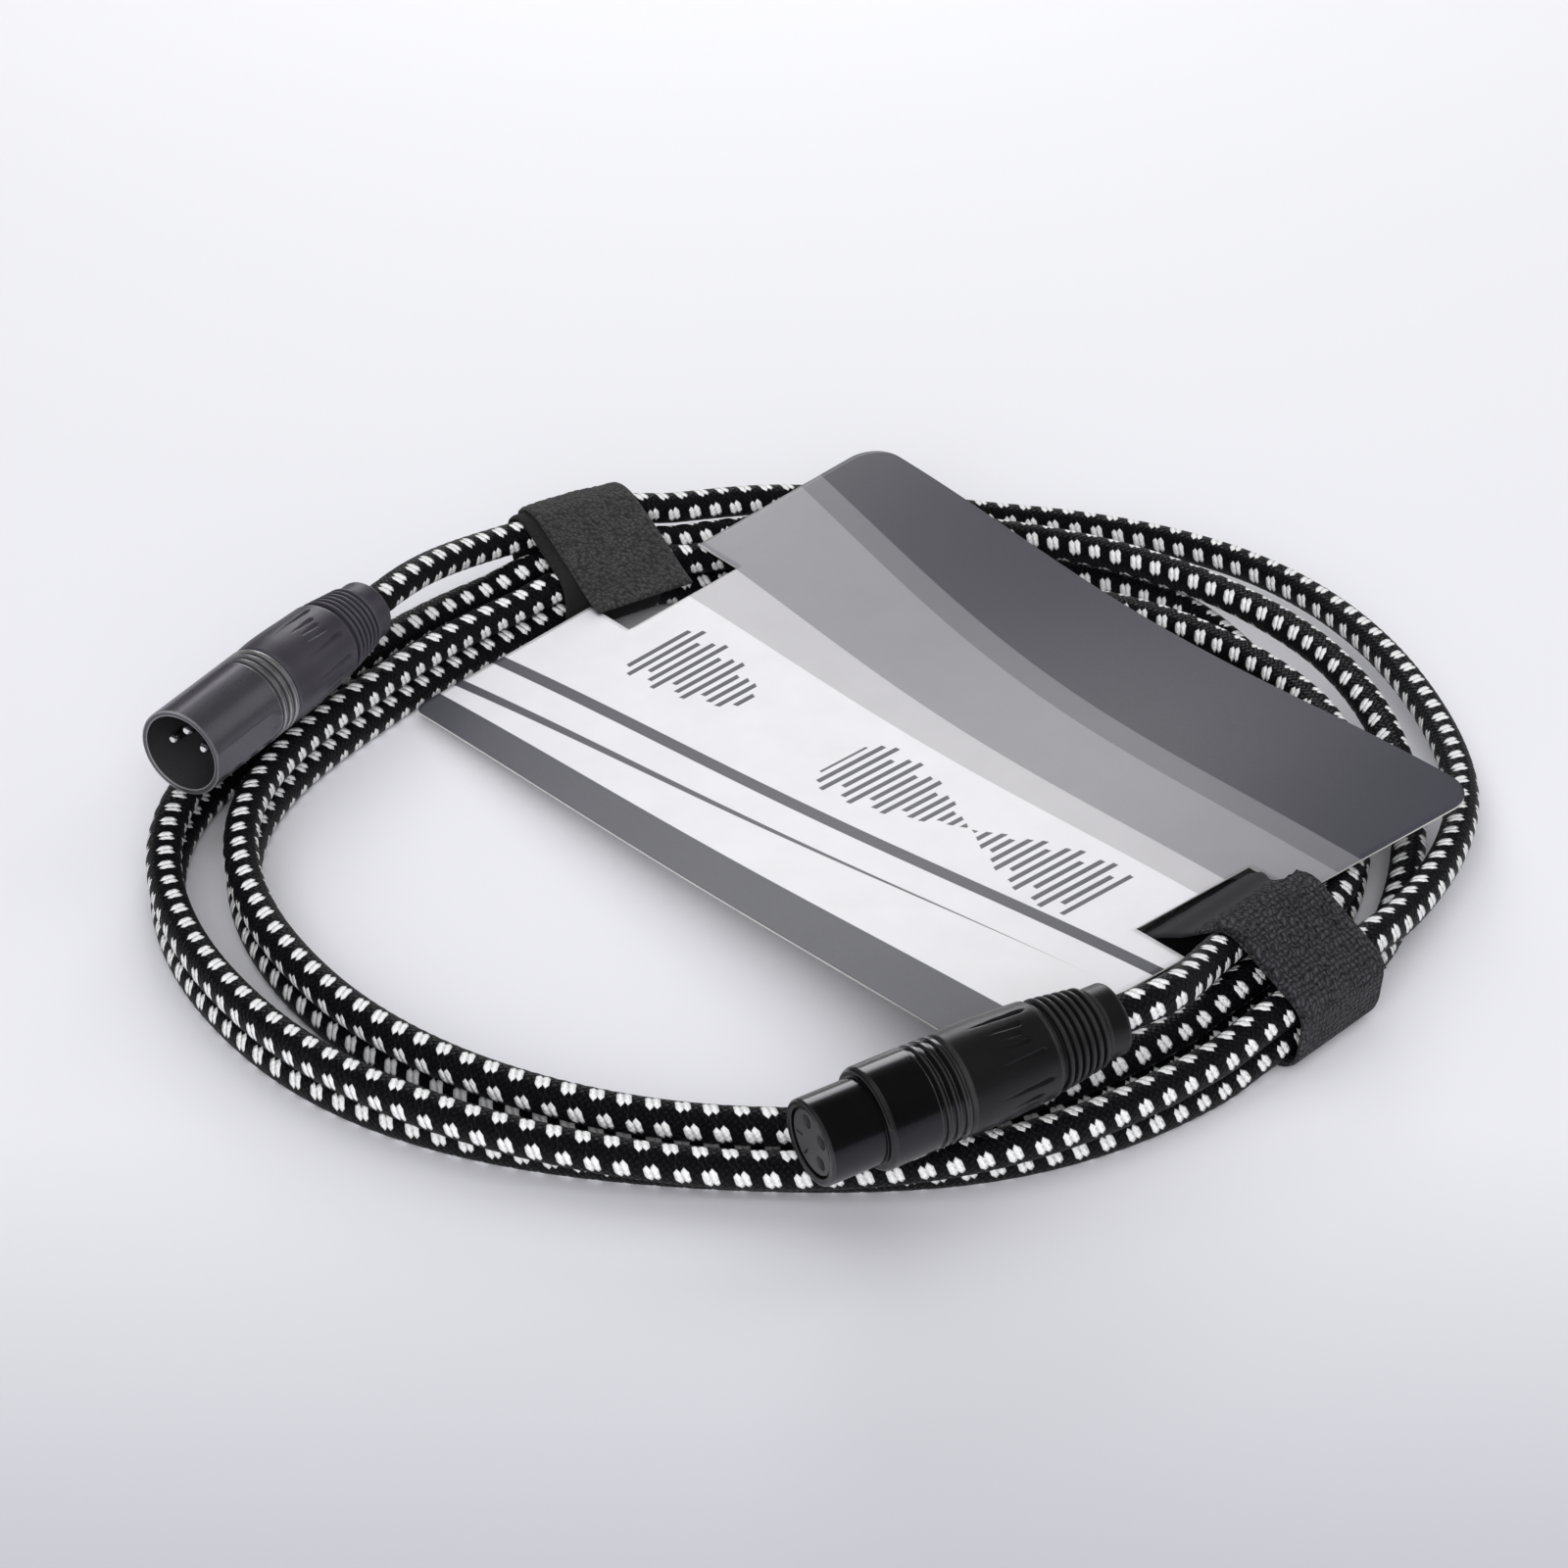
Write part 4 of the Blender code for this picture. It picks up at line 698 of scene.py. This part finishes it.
finishes = {        # low, high and rubbed-edge colour, roughness, metal, grain size, relief in mm, gloss
    "satinBlackShell": (0.002, 0.003, 0.030, 0.20, 0.0, 2200.0, 0.002, 0.50),
    "satinGreyBarrel": ((0.078, 0.076, 0.085), (0.092, 0.090, 0.100), 0.42, 0.29, 0.55, 2200.0, 0.0015, 0.5),
    "blackSleeve": (0.005, 0.008, 0.030, 0.36, 0.0, 1500.0, 0.02, 0.34),
    "greySleeve": ((0.030, 0.028, 0.035), (0.040, 0.038, 0.047), (0.060, 0.058, 0.070), 0.42, 0.0, 1500.0,
                   0.03, 0.5),
    "insertMoulding": (0.050, 0.062, 0.07, 0.48, 0.0, 1800.0, 0.03, 0.5),
    "silverContact": (0.70, 0.80, 0.85, 0.20, 1.0, 3000.0, 0.004, 0.5),
    # the female contacts: silver painted near black, a painted shade of the deep holes they sit in
    "shadedContact": (0.002, 0.003, 0.05, 0.45, 0.6, 3000.0, 0.004, 0.5),
    "latchSteel": (0.06, 0.08, 0.2, 0.36, 0.8, 2500.0, 0.006, 0.5),
    "clampMoulding": (0.10, 0.12, 0.14, 0.5, 0.0, 1500.0, 0.02, 0.5),
    "bareScreen": ((0.60, 0.34, 0.20), (0.74, 0.46, 0.30), 0.5, 0.35, 0.9, 4000.0, 0.05, 0.5),
    "redCore": ((0.42, 0.02, 0.02), (0.50, 0.03, 0.03), 0.3, 0.42, 0.0, 2000.0, 0.01, 0.5),
    "whiteCore": (0.66, 0.74, 0.7, 0.42, 0.0, 2000.0, 0.01, 0.5),
}
violetTint = (0.93, 0.89, 1.0, 1.0)         # of what the shells mirror


def castMaterial(name, low, high, edge, rough, metal, grainSize, depth, gloss):
    # satin surface of a cast or moulded piece, with fine grain and rubbed edges
    material, tree = newMaterial(name)
    grain = grained(tree, grainSize)
    wear = times(attribute(tree, "rubbed"), span(grain["Cloud"], 0.35, 0.65, 0.3, 1.0))
    body = mixColour(span(grain["Cloud"], 0.3, 0.7), colour(low), colour(high))
    surface(tree, {"Base Color": mixColour(wear, body, colour(edge)), "Metallic": metal,
                   "Roughness": span(grain["Speckle"], 0.3, 0.7, rough - 0.02, rough + 0.03),
                   "Specular IOR Level": gloss, "Specular Tint": violetTint}, grain["Speckle"], depth, 0.5)
    return material


cast = {name: castMaterial(name, *values) for name, values in finishes.items()}
inside = {          # nodes of the frame that stay as they are and only get a finish
    "insertMoulding": ("female_insert", "male_insert"), "latchSteel": ("female_latch",),
    "clampMoulding": ("female_chuck", "male_chuck"),
    # the female contacts take the painted shade finish
    "shadedContact": ("female_contact_1", "female_contact_2", "female_contact_3"),
    "bareScreen": ("female_wire_1", "male_wire_1"), "redCore": ("female_wire_2", "male_wire_2"),
    "whiteCore": ("female_wire_3", "male_wire_3"),
}
for name, nodeNames in inside.items():
    for nodeName in nodeNames:
        painted(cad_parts[nodeName], cast[name])
finished(femaleShellPiece(), cast["satinBlackShell"], "root", "shell", "female_shell")
maleBarrel = finished(maleShellPiece(), cast["satinGreyBarrel"], "root", "shell", "male_shell")
finished(bootPiece("female"), cast["blackSleeve"], "female_boot", "boot_black", "female_boot")
maleSleeve = finished(bootPiece("male"), cast["greySleeve"], "male_boot", "boot_grey", "male_boot")
pins = [finished(pinPiece(index, place), cast["silverContact"], "root", "contact", f"male_pin_{index + 1}")
        for index, place in enumerate(contacts["places"])]
print("connectors: shells, sleeves, pins and inserts")


# straps: woven bands right round the turns, each closed by a flap of looped pile on top

straps = {              # mm; places along a strap are (inwards, height) on the outline of its band
    "right": {"centre": (112.0, 26.5), "turn": 185.0, "tip": None, "inner": 9.5, "drop": 14.0, "aside": 0.0,
              "tongue": 1.0, "fade": 7.0, "seed": 7},
    "left": {"centre": (-97.0, 20.8), "turn": -6.0, "tip": (23.0, 11.3), "inner": 13.0, "drop": 20.0,
             "aside": 3.0, "tongue": 0.0, "fade": 2.0, "seed": 11},
    "width": 25.0, "band": 0.9, "pile": 1.1, "gap": 0.1, "sink": 1.2, "sag": 0.8, "bandStep": 0.8,
    "flapStep": 0.42, "notchFrom": (9.5, 17.0), "notchAbove": (5.0, 9.0), "topAbove": (8.0, 15.0),
    "widen": 0.208, "widenAside": -1.1, "dipFrom": (10.5, 16.0), "dipBefore": (20.0, 0.087), "lift": 1.2,
    "plainFrom": (9.0, 11.5), "outerTo": (-6.0, 8.0), "loopRun": 1.5, "loopAcross": 2.6, "rim": 0.35,
}


uvMillimetres = 100.0         # that one unit of a strap's uv stands for


def strapPlane(side):
    # inwards, across and a corner on the floor, for places given in millimetres
    turn = math.radians(straps[side]["turn"])
    corner = np.array([*straps[side]["centre"], 0.0]) * mm + planShift
    inwards = np.array([math.cos(turn), math.sin(turn), 0.0])
    return corner, inwards, np.cross(upwards, inwards)


def bandHull(side):
    # the outline of the frame's band, seen along the cable: (inwards, height), counter-clockwise
    corner, inwards, across = strapPlane(side)
    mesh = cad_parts[f"strap_{side}_band"].data
    places = np.empty(len(mesh.vertices) * 3)
    mesh.vertices.foreach_get("co", places)
    places = places.reshape(-1, 3) - corner
    flat = np.unique(np.round(np.stack([places @ inwards, places[:, 2]], axis=-1) / mm, 3), axis=0)
    hull = []
    for way in (flat, flat[::-1]):
        chain = []
        for spot in way:
            while len(chain) > 1:
                on, off = chain[-1] - chain[-2], spot - chain[-2]
                if on[0] * off[1] - on[1] * off[0] > 0:
                    break
                chain.pop()
            chain.append(spot)
        hull += chain[:-1]
    return np.array(hull)


def easedLine(line, step, closed, rounds):
    # the same line in even steps, with its corners eased
    even, length = evenSteps(np.vstack([line, line[:1]]) if closed else line, step)
    even = even[:-1] if closed else even
    for _ in range(rounds):
        eased = 0.5 * even + 0.25 * (np.roll(even, 1, axis=0) + np.roll(even, -1, axis=0))
        if not closed:
            eased[0], eased[-1] = even[0], even[-1]
        even = eased
    return even, length


def lineNormals(line, closed):
    # to the right of a line's run, which is outwards on a counter-clockwise outline
    way = np.roll(line, -1, axis=0) - np.roll(line, 1, axis=0) if closed else np.gradient(line, axis=0)
    way = unit(way)
    return np.stack([way[:, 1], -way[:, 0]], axis=-1)


def thickSheet(name, middle, normal, thickness, wrapRows=False, keep=None, uv=None, values=None):
    # a grid of places thickened to both sides along its normals, with a wall wherever a cell has no neighbour
    rows, columns = middle.shape[:2]
    faces = gridFaces(rows, columns, wrapRows, False)
    if keep is not None:
        faces = faces[keep.ravel()]
    count = rows * columns
    half = (np.asarray(thickness) / 2)[..., None] * normal
    points = np.concatenate([(middle + half).reshape(-1, 3), (middle - half).reshape(-1, 3)])
    start, end = faces.ravel(), np.roll(faces, -1, axis=1).ravel()
    lonely = ~np.isin(start * count + end, end * count + start)
    start, end = start[lonely], end[lonely]
    walls = np.stack([end, start, start + count, end + count], axis=-1)
    whole = np.concatenate([faces, faces[:, ::-1] + count, walls])
    used, where = np.unique(whole, return_inverse=True)
    uv = None if uv is None else np.tile(uv.reshape(-1, 2), (2, 1))[used]
    values = {key: np.tile(value.ravel(), 2)[used] for key, value in (values or {}).items()}
    return meshPiece(name, points[used], where.reshape(-1, 4), uv=uv, values=values)


def clothGrid(side, line, step, aside, closed):
    # the line carried across the strap's width, pulled down onto the turns towards the far outer corner;
    # the part that lies in the card's notch widens to fill it
    corner, inwards, across = strapPlane(side)
    inward, height = line[:, :1], line[:, 1:]
    inNotch = smoothStep(inward, *straps["notchFrom"]) * smoothStep(height, *straps["notchAbove"])
    wide = inNotch * straps[side]["tongue"]
    line = line - smoothStep(height, *straps["topAbove"]) * [0.0, straps["sink"]]
    reach = np.linspace(-straps["width"] / 2, straps["width"] / 2, int(straps["width"] / step) + 1)
    sideways = reach * (1.0 + straps["widen"] * wide) + straps["widenAside"] * wide + aside

    def spread(flat):
        return flat[:, None, :1] * inwards + flat[:, None, 1:] * upwards

    middle = corner + mm * (spread(line) + sideways[..., None] * across)
    far = smoothStep(reach * across[1], -2.0, straps["width"] / 2)[None, :]
    outer = smoothStep(-inward, *straps["outerTo"]) * smoothStep(line[:, 1:], *straps["topAbove"])
    middle[..., 2] -= mm * straps["sag"] * far * outer
    underCard = straps["dipBefore"][0] + straps["dipBefore"][1] * sideways      # where it dips below the card
    level = 1.0 - smoothStep(inward - underCard, 0.0, 1.0)
    middle[..., 2] += mm * straps["lift"] * smoothStep(inward, *straps["dipFrom"]) * level * wide
    normal = np.broadcast_to(spread(lineNormals(line, closed)), middle.shape)
    along = runOf(line)
    uv = np.stack(np.broadcast_arrays(reach / uvMillimetres + 0.2, along[:, None] / uvMillimetres), axis=-1)
    return middle, normal, uv, reach, along


def bandPiece(side):
    # the band's outline drawn in by half its thickness, with softened selvedges
    hull = bandHull(side)
    start = np.argmin(hull[:, 1] + 0.001 * np.abs(hull[:, 0]))
    line, length = easedLine(np.roll(hull, -start, axis=0), straps["bandStep"], True, 5)
    line = line - lineNormals(line, True) * straps["band"] / 2
    middle, normal, uv, reach, along = clothGrid(side, line, straps["bandStep"], 0.0, True)
    edge = smoothStep(straps["width"] / 2 - np.abs(reach), 0.0, 0.9)[None, :]
    thick = mm * straps["band"] * (straps["rim"] + (1 - straps["rim"]) * edge) * np.ones((len(line), 1))
    plain = smoothStep(line[:, :1], *straps["plainFrom"]) * np.ones_like(thick)
    return thickSheet(side + "Band", middle, normal, thick, True, uv=uv, values={"plain": plain}), length


def flapLine(side):
    # from the free tip over the top of the band to the outer shoulder
    shape = straps[side]
    hull = bandHull(side)
    turned = np.roll(hull, -int(np.argmax(hull[:, 0])), axis=0)
    path = [] if shape["tip"] is None else [np.array(shape["tip"])]
    for spot in turned:
        if spot[0] > shape["inner"]:
            continue
        if spot[1] < shape["drop"] and len(path) > 1 and spot[0] < path[1][0] - straps["width"] / 3:
            break
        path.append(spot)
    line, length = easedLine(np.array(path), straps["flapStep"], False, 8)
    along = np.linspace(0.0, length, len(line))[:, None]
    thin = 0.3 + 0.7 * smoothStep(length - along, 0.0, shape["fade"])        # thins out at the outer end
    return line + lineNormals(line, False) * (straps["gap"] + straps["pile"] * thin / 2), length, thin


def flapPiece(side, coarse):
    # looped pile: little heaps over the whole top, longer loops near the free tip
    line, length, thin = flapLine(side)
    middle, normal, uv, reach, along = clothGrid(side, line, straps["flapStep"], straps[side]["aside"], False)
    heaps = np.random.default_rng(straps[side]["seed"]).random(middle.shape[:2])
    heaps = (heaps + np.roll(heaps, 1, 0) + np.roll(heaps, 1, 1) + np.roll(heaps, -1, 0)) / 4
    across, run = np.broadcast_arrays(reach[None, :], along[:, None])
    row = run / straps["loopRun"]
    place = across / straps["loopAcross"] + 0.5 * (np.floor(row) % 2)
    loops = np.abs(np.sin(math.pi * row) * np.sin(math.pi * place))
    longer = coarse * (1.0 - 0.3 * smoothStep(run, 12.0, 20.0))
    raised = 0.55 * (heaps - 0.5) * (1.0 - 0.6 * longer) + 0.45 * longer * loops
    endDistance = np.minimum(np.minimum(straps["width"] / 2 - np.abs(across), run), along[-1] - run)
    edge = smoothStep(endDistance, -0.2, 1.1)
    thick = mm * straps["pile"] * (straps["rim"] + (1 - straps["rim"]) * edge) * thin
    middle = middle + normal * (mm * raised * edge * thin)[..., None]
    return thickSheet(side + "Flap", middle, normal, thick, uv=uv), length


def clothMaterial(name, settings):
    # threads over and under each other, dulled by fluff; the part marked plain has one even tone
    material, tree = newMaterial(name)
    uv = split(node(tree, "TexCoord", {})["UV"])
    stray = times(minus(noise(tree, 420.0, 2.0), 0.5), settings["stray"])
    threads = uvMillimetres / settings["thread"]
    weave = woven(*(plus(stray, times(uv[k], threads)) for k in (0, 1)))
    fluff, patch = noise(tree, 1500.0, 4.0), noise(tree, 160.0, 3.0)
    tone = plus(times(power(weave, 2.0), 0.7), span(fluff, 0.35, 0.65, 0.0, 0.4))
    tone = times(tone, span(patch, 0.3, 0.7, 0.75, 1.15))
    plain = attribute(tree, "plain")
    worked = minus(1.0, plain)
    tone = plus(times(tone, worked), times(plain, settings["even"]))
    surface(tree, {"Base Color": mixColour(tone, settings["low"], settings["high"]), "Roughness": 0.86,
                   "Specular IOR Level": 0.25, "Sheen Weight": settings["sheen"], "Sheen Roughness": 0.5},
            times(plus(weave, times(fluff, 0.5)), worked), settings["relief"])
    return material


def pileMaterial(name, settings):
    # tangled loops: small bright hoops between dark gaps
    material, tree = newMaterial(name)
    place = objectPlace(tree)
    tangle = node(tree, "TexVoronoi", {"Vector": place, "Scale": settings["loops"]})["Distance"]
    fibre, patch = noise(tree, 2300.0, 4.0, place), noise(tree, 240.0, 3.0, place)
    hoop = times(span(tangle, 0.15, 0.75, 1.0, 0.0), span(fibre, 0.35, 0.65, 0.4, 1.0))
    tone = times(hoop, span(patch, 0.35, 0.65, 0.6, 1.1))
    surface(tree, {"Base Color": mixColour(tone, settings["low"], settings["high"]), "Roughness": 0.95,
                   "Specular IOR Level": 0.15, "Sheen Weight": settings["sheen"], "Sheen Roughness": 0.6},
            plus(hoop, times(fibre, 0.4)), settings["relief"])
    return material


webbing = clothMaterial("blackWebbing", {"thread": 0.55, "low": colour(0.008), "high": colour(0.024),
                                         "sheen": 0.04, "relief": 0.06, "stray": 0.2, "even": 0.5})
feltPile = pileMaterial("charcoalPile", {"loops": 1150.0, "low": colour(0.014), "high": colour(0.070),
                                         "sheen": 0.12, "relief": 0.45})
loopPile = clothMaterial("loopedPile", {"thread": 1.25, "low": colour((0.003, 0.003, 0.004)),
                                        "high": colour((0.070, 0.067, 0.078)), "sheen": 0.04, "relief": 0.6,
                                        "stray": 2.2, "even": 0.28})
for side, bandCloth, flapCloth, coarse in (("right", loopPile, loopPile, 1.0),
                                           ("left", webbing, feltPile, 0.0)):
    band, bandLength = bandPiece(side)
    finished(band, bandCloth, "root", "webbing", f"strap_{side}_band")
    flap, flapLength = flapPiece(side, coarse)
    finished(flap, flapCloth, side + "_flap", "pile", f"strap_{side}_flap")
    print(f"{side} strap: band {bandLength:.0f} mm, flap {flapLength:.0f} mm")


# hang card, in mm

card = {
    "thick": 0.5, "left": -79.5, "width": 183.4, "near": -38.1, "depth": 133.1, "sag": 4.5,
    "corners": (2.6, 15.0, 16.6, 23.2), "notchStart": 10.4, "notchWidth": 31.0, "notchLeft": 14.0,
    "notchRight": 12.9, "farRadius": 8.0, "nearRadius": 3.0, "columns": 150,
    "rows": (30, 20, 30),
}


def cardHeight(x, y):
    # a sheet twisted between four corner heights, its far edge dipping in the middle
    u = (x - card["left"]) / card["width"]
    v = (y - card["near"]) / card["depth"]
    nearLeft, nearRight, farRight, farLeft = card["corners"]
    flat = (1 - u) * (1 - v) * nearLeft + u * (1 - v) * nearRight + u * v * farRight + (1 - u) * v * farLeft
    return flat - card["sag"] * (0.2 + 0.8 * v) * np.sin(math.pi * np.clip(u, 0.0, 1.0)) ** 2


def cardPiece():
    near, far = card["near"], card["near"] + card["depth"]
    notchEnd = card["notchStart"] + card["notchWidth"]
    small, big = card["nearRadius"], card["farRadius"]
    bend = 1.0 - np.cos(np.linspace(0.0, math.pi / 2, 13))
    stops = (near + small, card["notchStart"], notchEnd, far - big)
    flats = [np.linspace(*ends)[:-1] for ends in zip(stops, stops[1:], card["rows"])]
    rows = np.concatenate([near + small * bend[:-1], *flats, far - big * bend[::-1]])
    inset = np.zeros_like(rows)
    for radius, depth in ((small, rows - near), (big, far - rows)):
        inside = depth < radius
        inset[inside] = radius - np.sqrt(np.maximum(radius ** 2 - (radius - depth[inside]) ** 2, 0.0))
    sides = [card["notchLeft"] / card["width"], 1 - card["notchRight"] / card["width"]]
    share = np.unique(np.concatenate([np.linspace(0.0, 1.0, card["columns"]), sides]))
    x = card["left"] + inset[:, None] + (card["width"] - 2 * inset[:, None]) * share[None, :]
    y = np.broadcast_to(rows[:, None], x.shape)
    middle = mm * np.stack([x, y, cardHeight(x, y)], axis=-1) + planShift
    normal = unit(np.cross(np.gradient(middle, axis=1), np.gradient(middle, axis=0)))
    centre = (y[:-1, :-1] + y[1:, :-1]) / 2
    inNotch = (centre > card["notchStart"]) & (centre < notchEnd)
    middleShare = np.broadcast_to((share[:-1] + share[1:])[None, :] / 2, inNotch.shape)
    cutOut = inNotch & ((middleShare < sides[0]) | (middleShare > sides[1]))
    return thickSheet("printedCard", middle, normal, card["thick"] * mm, keep=~cutOut)


artwork = {                 # origin and bar in mm, the rest as shares of the card's width and depth
    "origin": (-89.55, -44.35), "ink": colour((0.080, 0.080, 0.096)), "paper": colour((0.74, 0.735, 0.765)),
    "bands": ((0.49, 0.0, 0.50), (0.545, 0.055, 0.27), (0.68, 0.145, 0.165), (0.73, 0.14, 0.052)),
    "lines": ((-1.0, 0.052, 0.0, 0.050), (0.081, 0.099, 0.165, 0.1456), (0.159, 0.182, 0.14, 0.14)),
    "bar": 2.6, "middle": 0.36, "slope": 0.03, "wave": 0.085, "groups": ((0.13, 0.30), (0.46, 0.86)),
    "back": (colour((0.60, 0.59, 0.57)), colour((0.70, 0.69, 0.67))),
}


def cardMaterial():
    # plain print: curved grey bands on the far side, a dark band and lines on the near side, and bars
    material, tree = newMaterial("printedBoard")
    place = split(objectPlace(tree))
    across, depth = (minus(times(place[k], 1 / mm), artwork["origin"][k]) for k in (0, 1))
    u, v = ratio(across, card["width"]), ratio(depth, card["depth"])
    left = power(larger(minus(1.0, u), 0.0), 2.0)

    def stripe(value, start, end, soft=0.0015):
        return times(span(minus(value, start), 0.0, soft),
                     span(minus(value, end), 0.0, soft, 1.0, 0.0))

    def sloped(start, slope):
        return plus(start, times(u, slope))

    tones = artwork["paper"]
    for start, bend, level in artwork["bands"]:
        line = plus(start, times(left, bend))
        tones = mixColour(span(minus(v, line), 0.0, 0.002), tones,
                          colour((level, level * 0.98, level + 0.014)))
    for start, end, startSlope, endSlope in artwork["lines"]:
        share = stripe(v, sloped(start, startSlope), sloped(end, endSlope))
        tones = mixColour(share, tones, artwork["ink"])
    # bars of swelling height either side of a middle line
    step = ratio(across, artwork["bar"])
    swell = absolute(sine(times(u, 3 * math.pi)))
    uneven = plus(0.80, times(sine(times(floored(step), 2.1)), 0.20))
    half = times(times(swell, uneven), artwork["wave"])
    off = absolute(minus(v, sloped(artwork["middle"], artwork["slope"])))
    bar = stripe(fraction(step), 0.25, 0.75, 0.03)
    bar = times(bar, span(minus(half, off), 0.0, 0.002))
    groups = plus(*(stripe(u, *group) for group in artwork["groups"]))
    tones = mixColour(times(bar, groups), tones, artwork["ink"])
    upward = span(split(node(tree, "NewGeometry", {})["Normal"])[2], 0.5, 0.6)
    grain = grained(tree, 1400.0)
    both = mixColour(upward, mixColour(grain["Cloud"], *artwork["back"]), tones)
    surface(tree, {"Base Color": scaled(both, span(grain["Cloud"], 0.25, 0.75, 0.96, 1.02)),
                   "Roughness": span(grain["Speckle"], 0.3, 0.7, 0.38, 0.46),
                   "Specular IOR Level": 0.35}, grain["Cloud"], 0.03, 0.4)
    return material


finished(cardPiece(), cardMaterial(), "root", "board", "hang_card")
print("hang card: bent sheet with two notches")
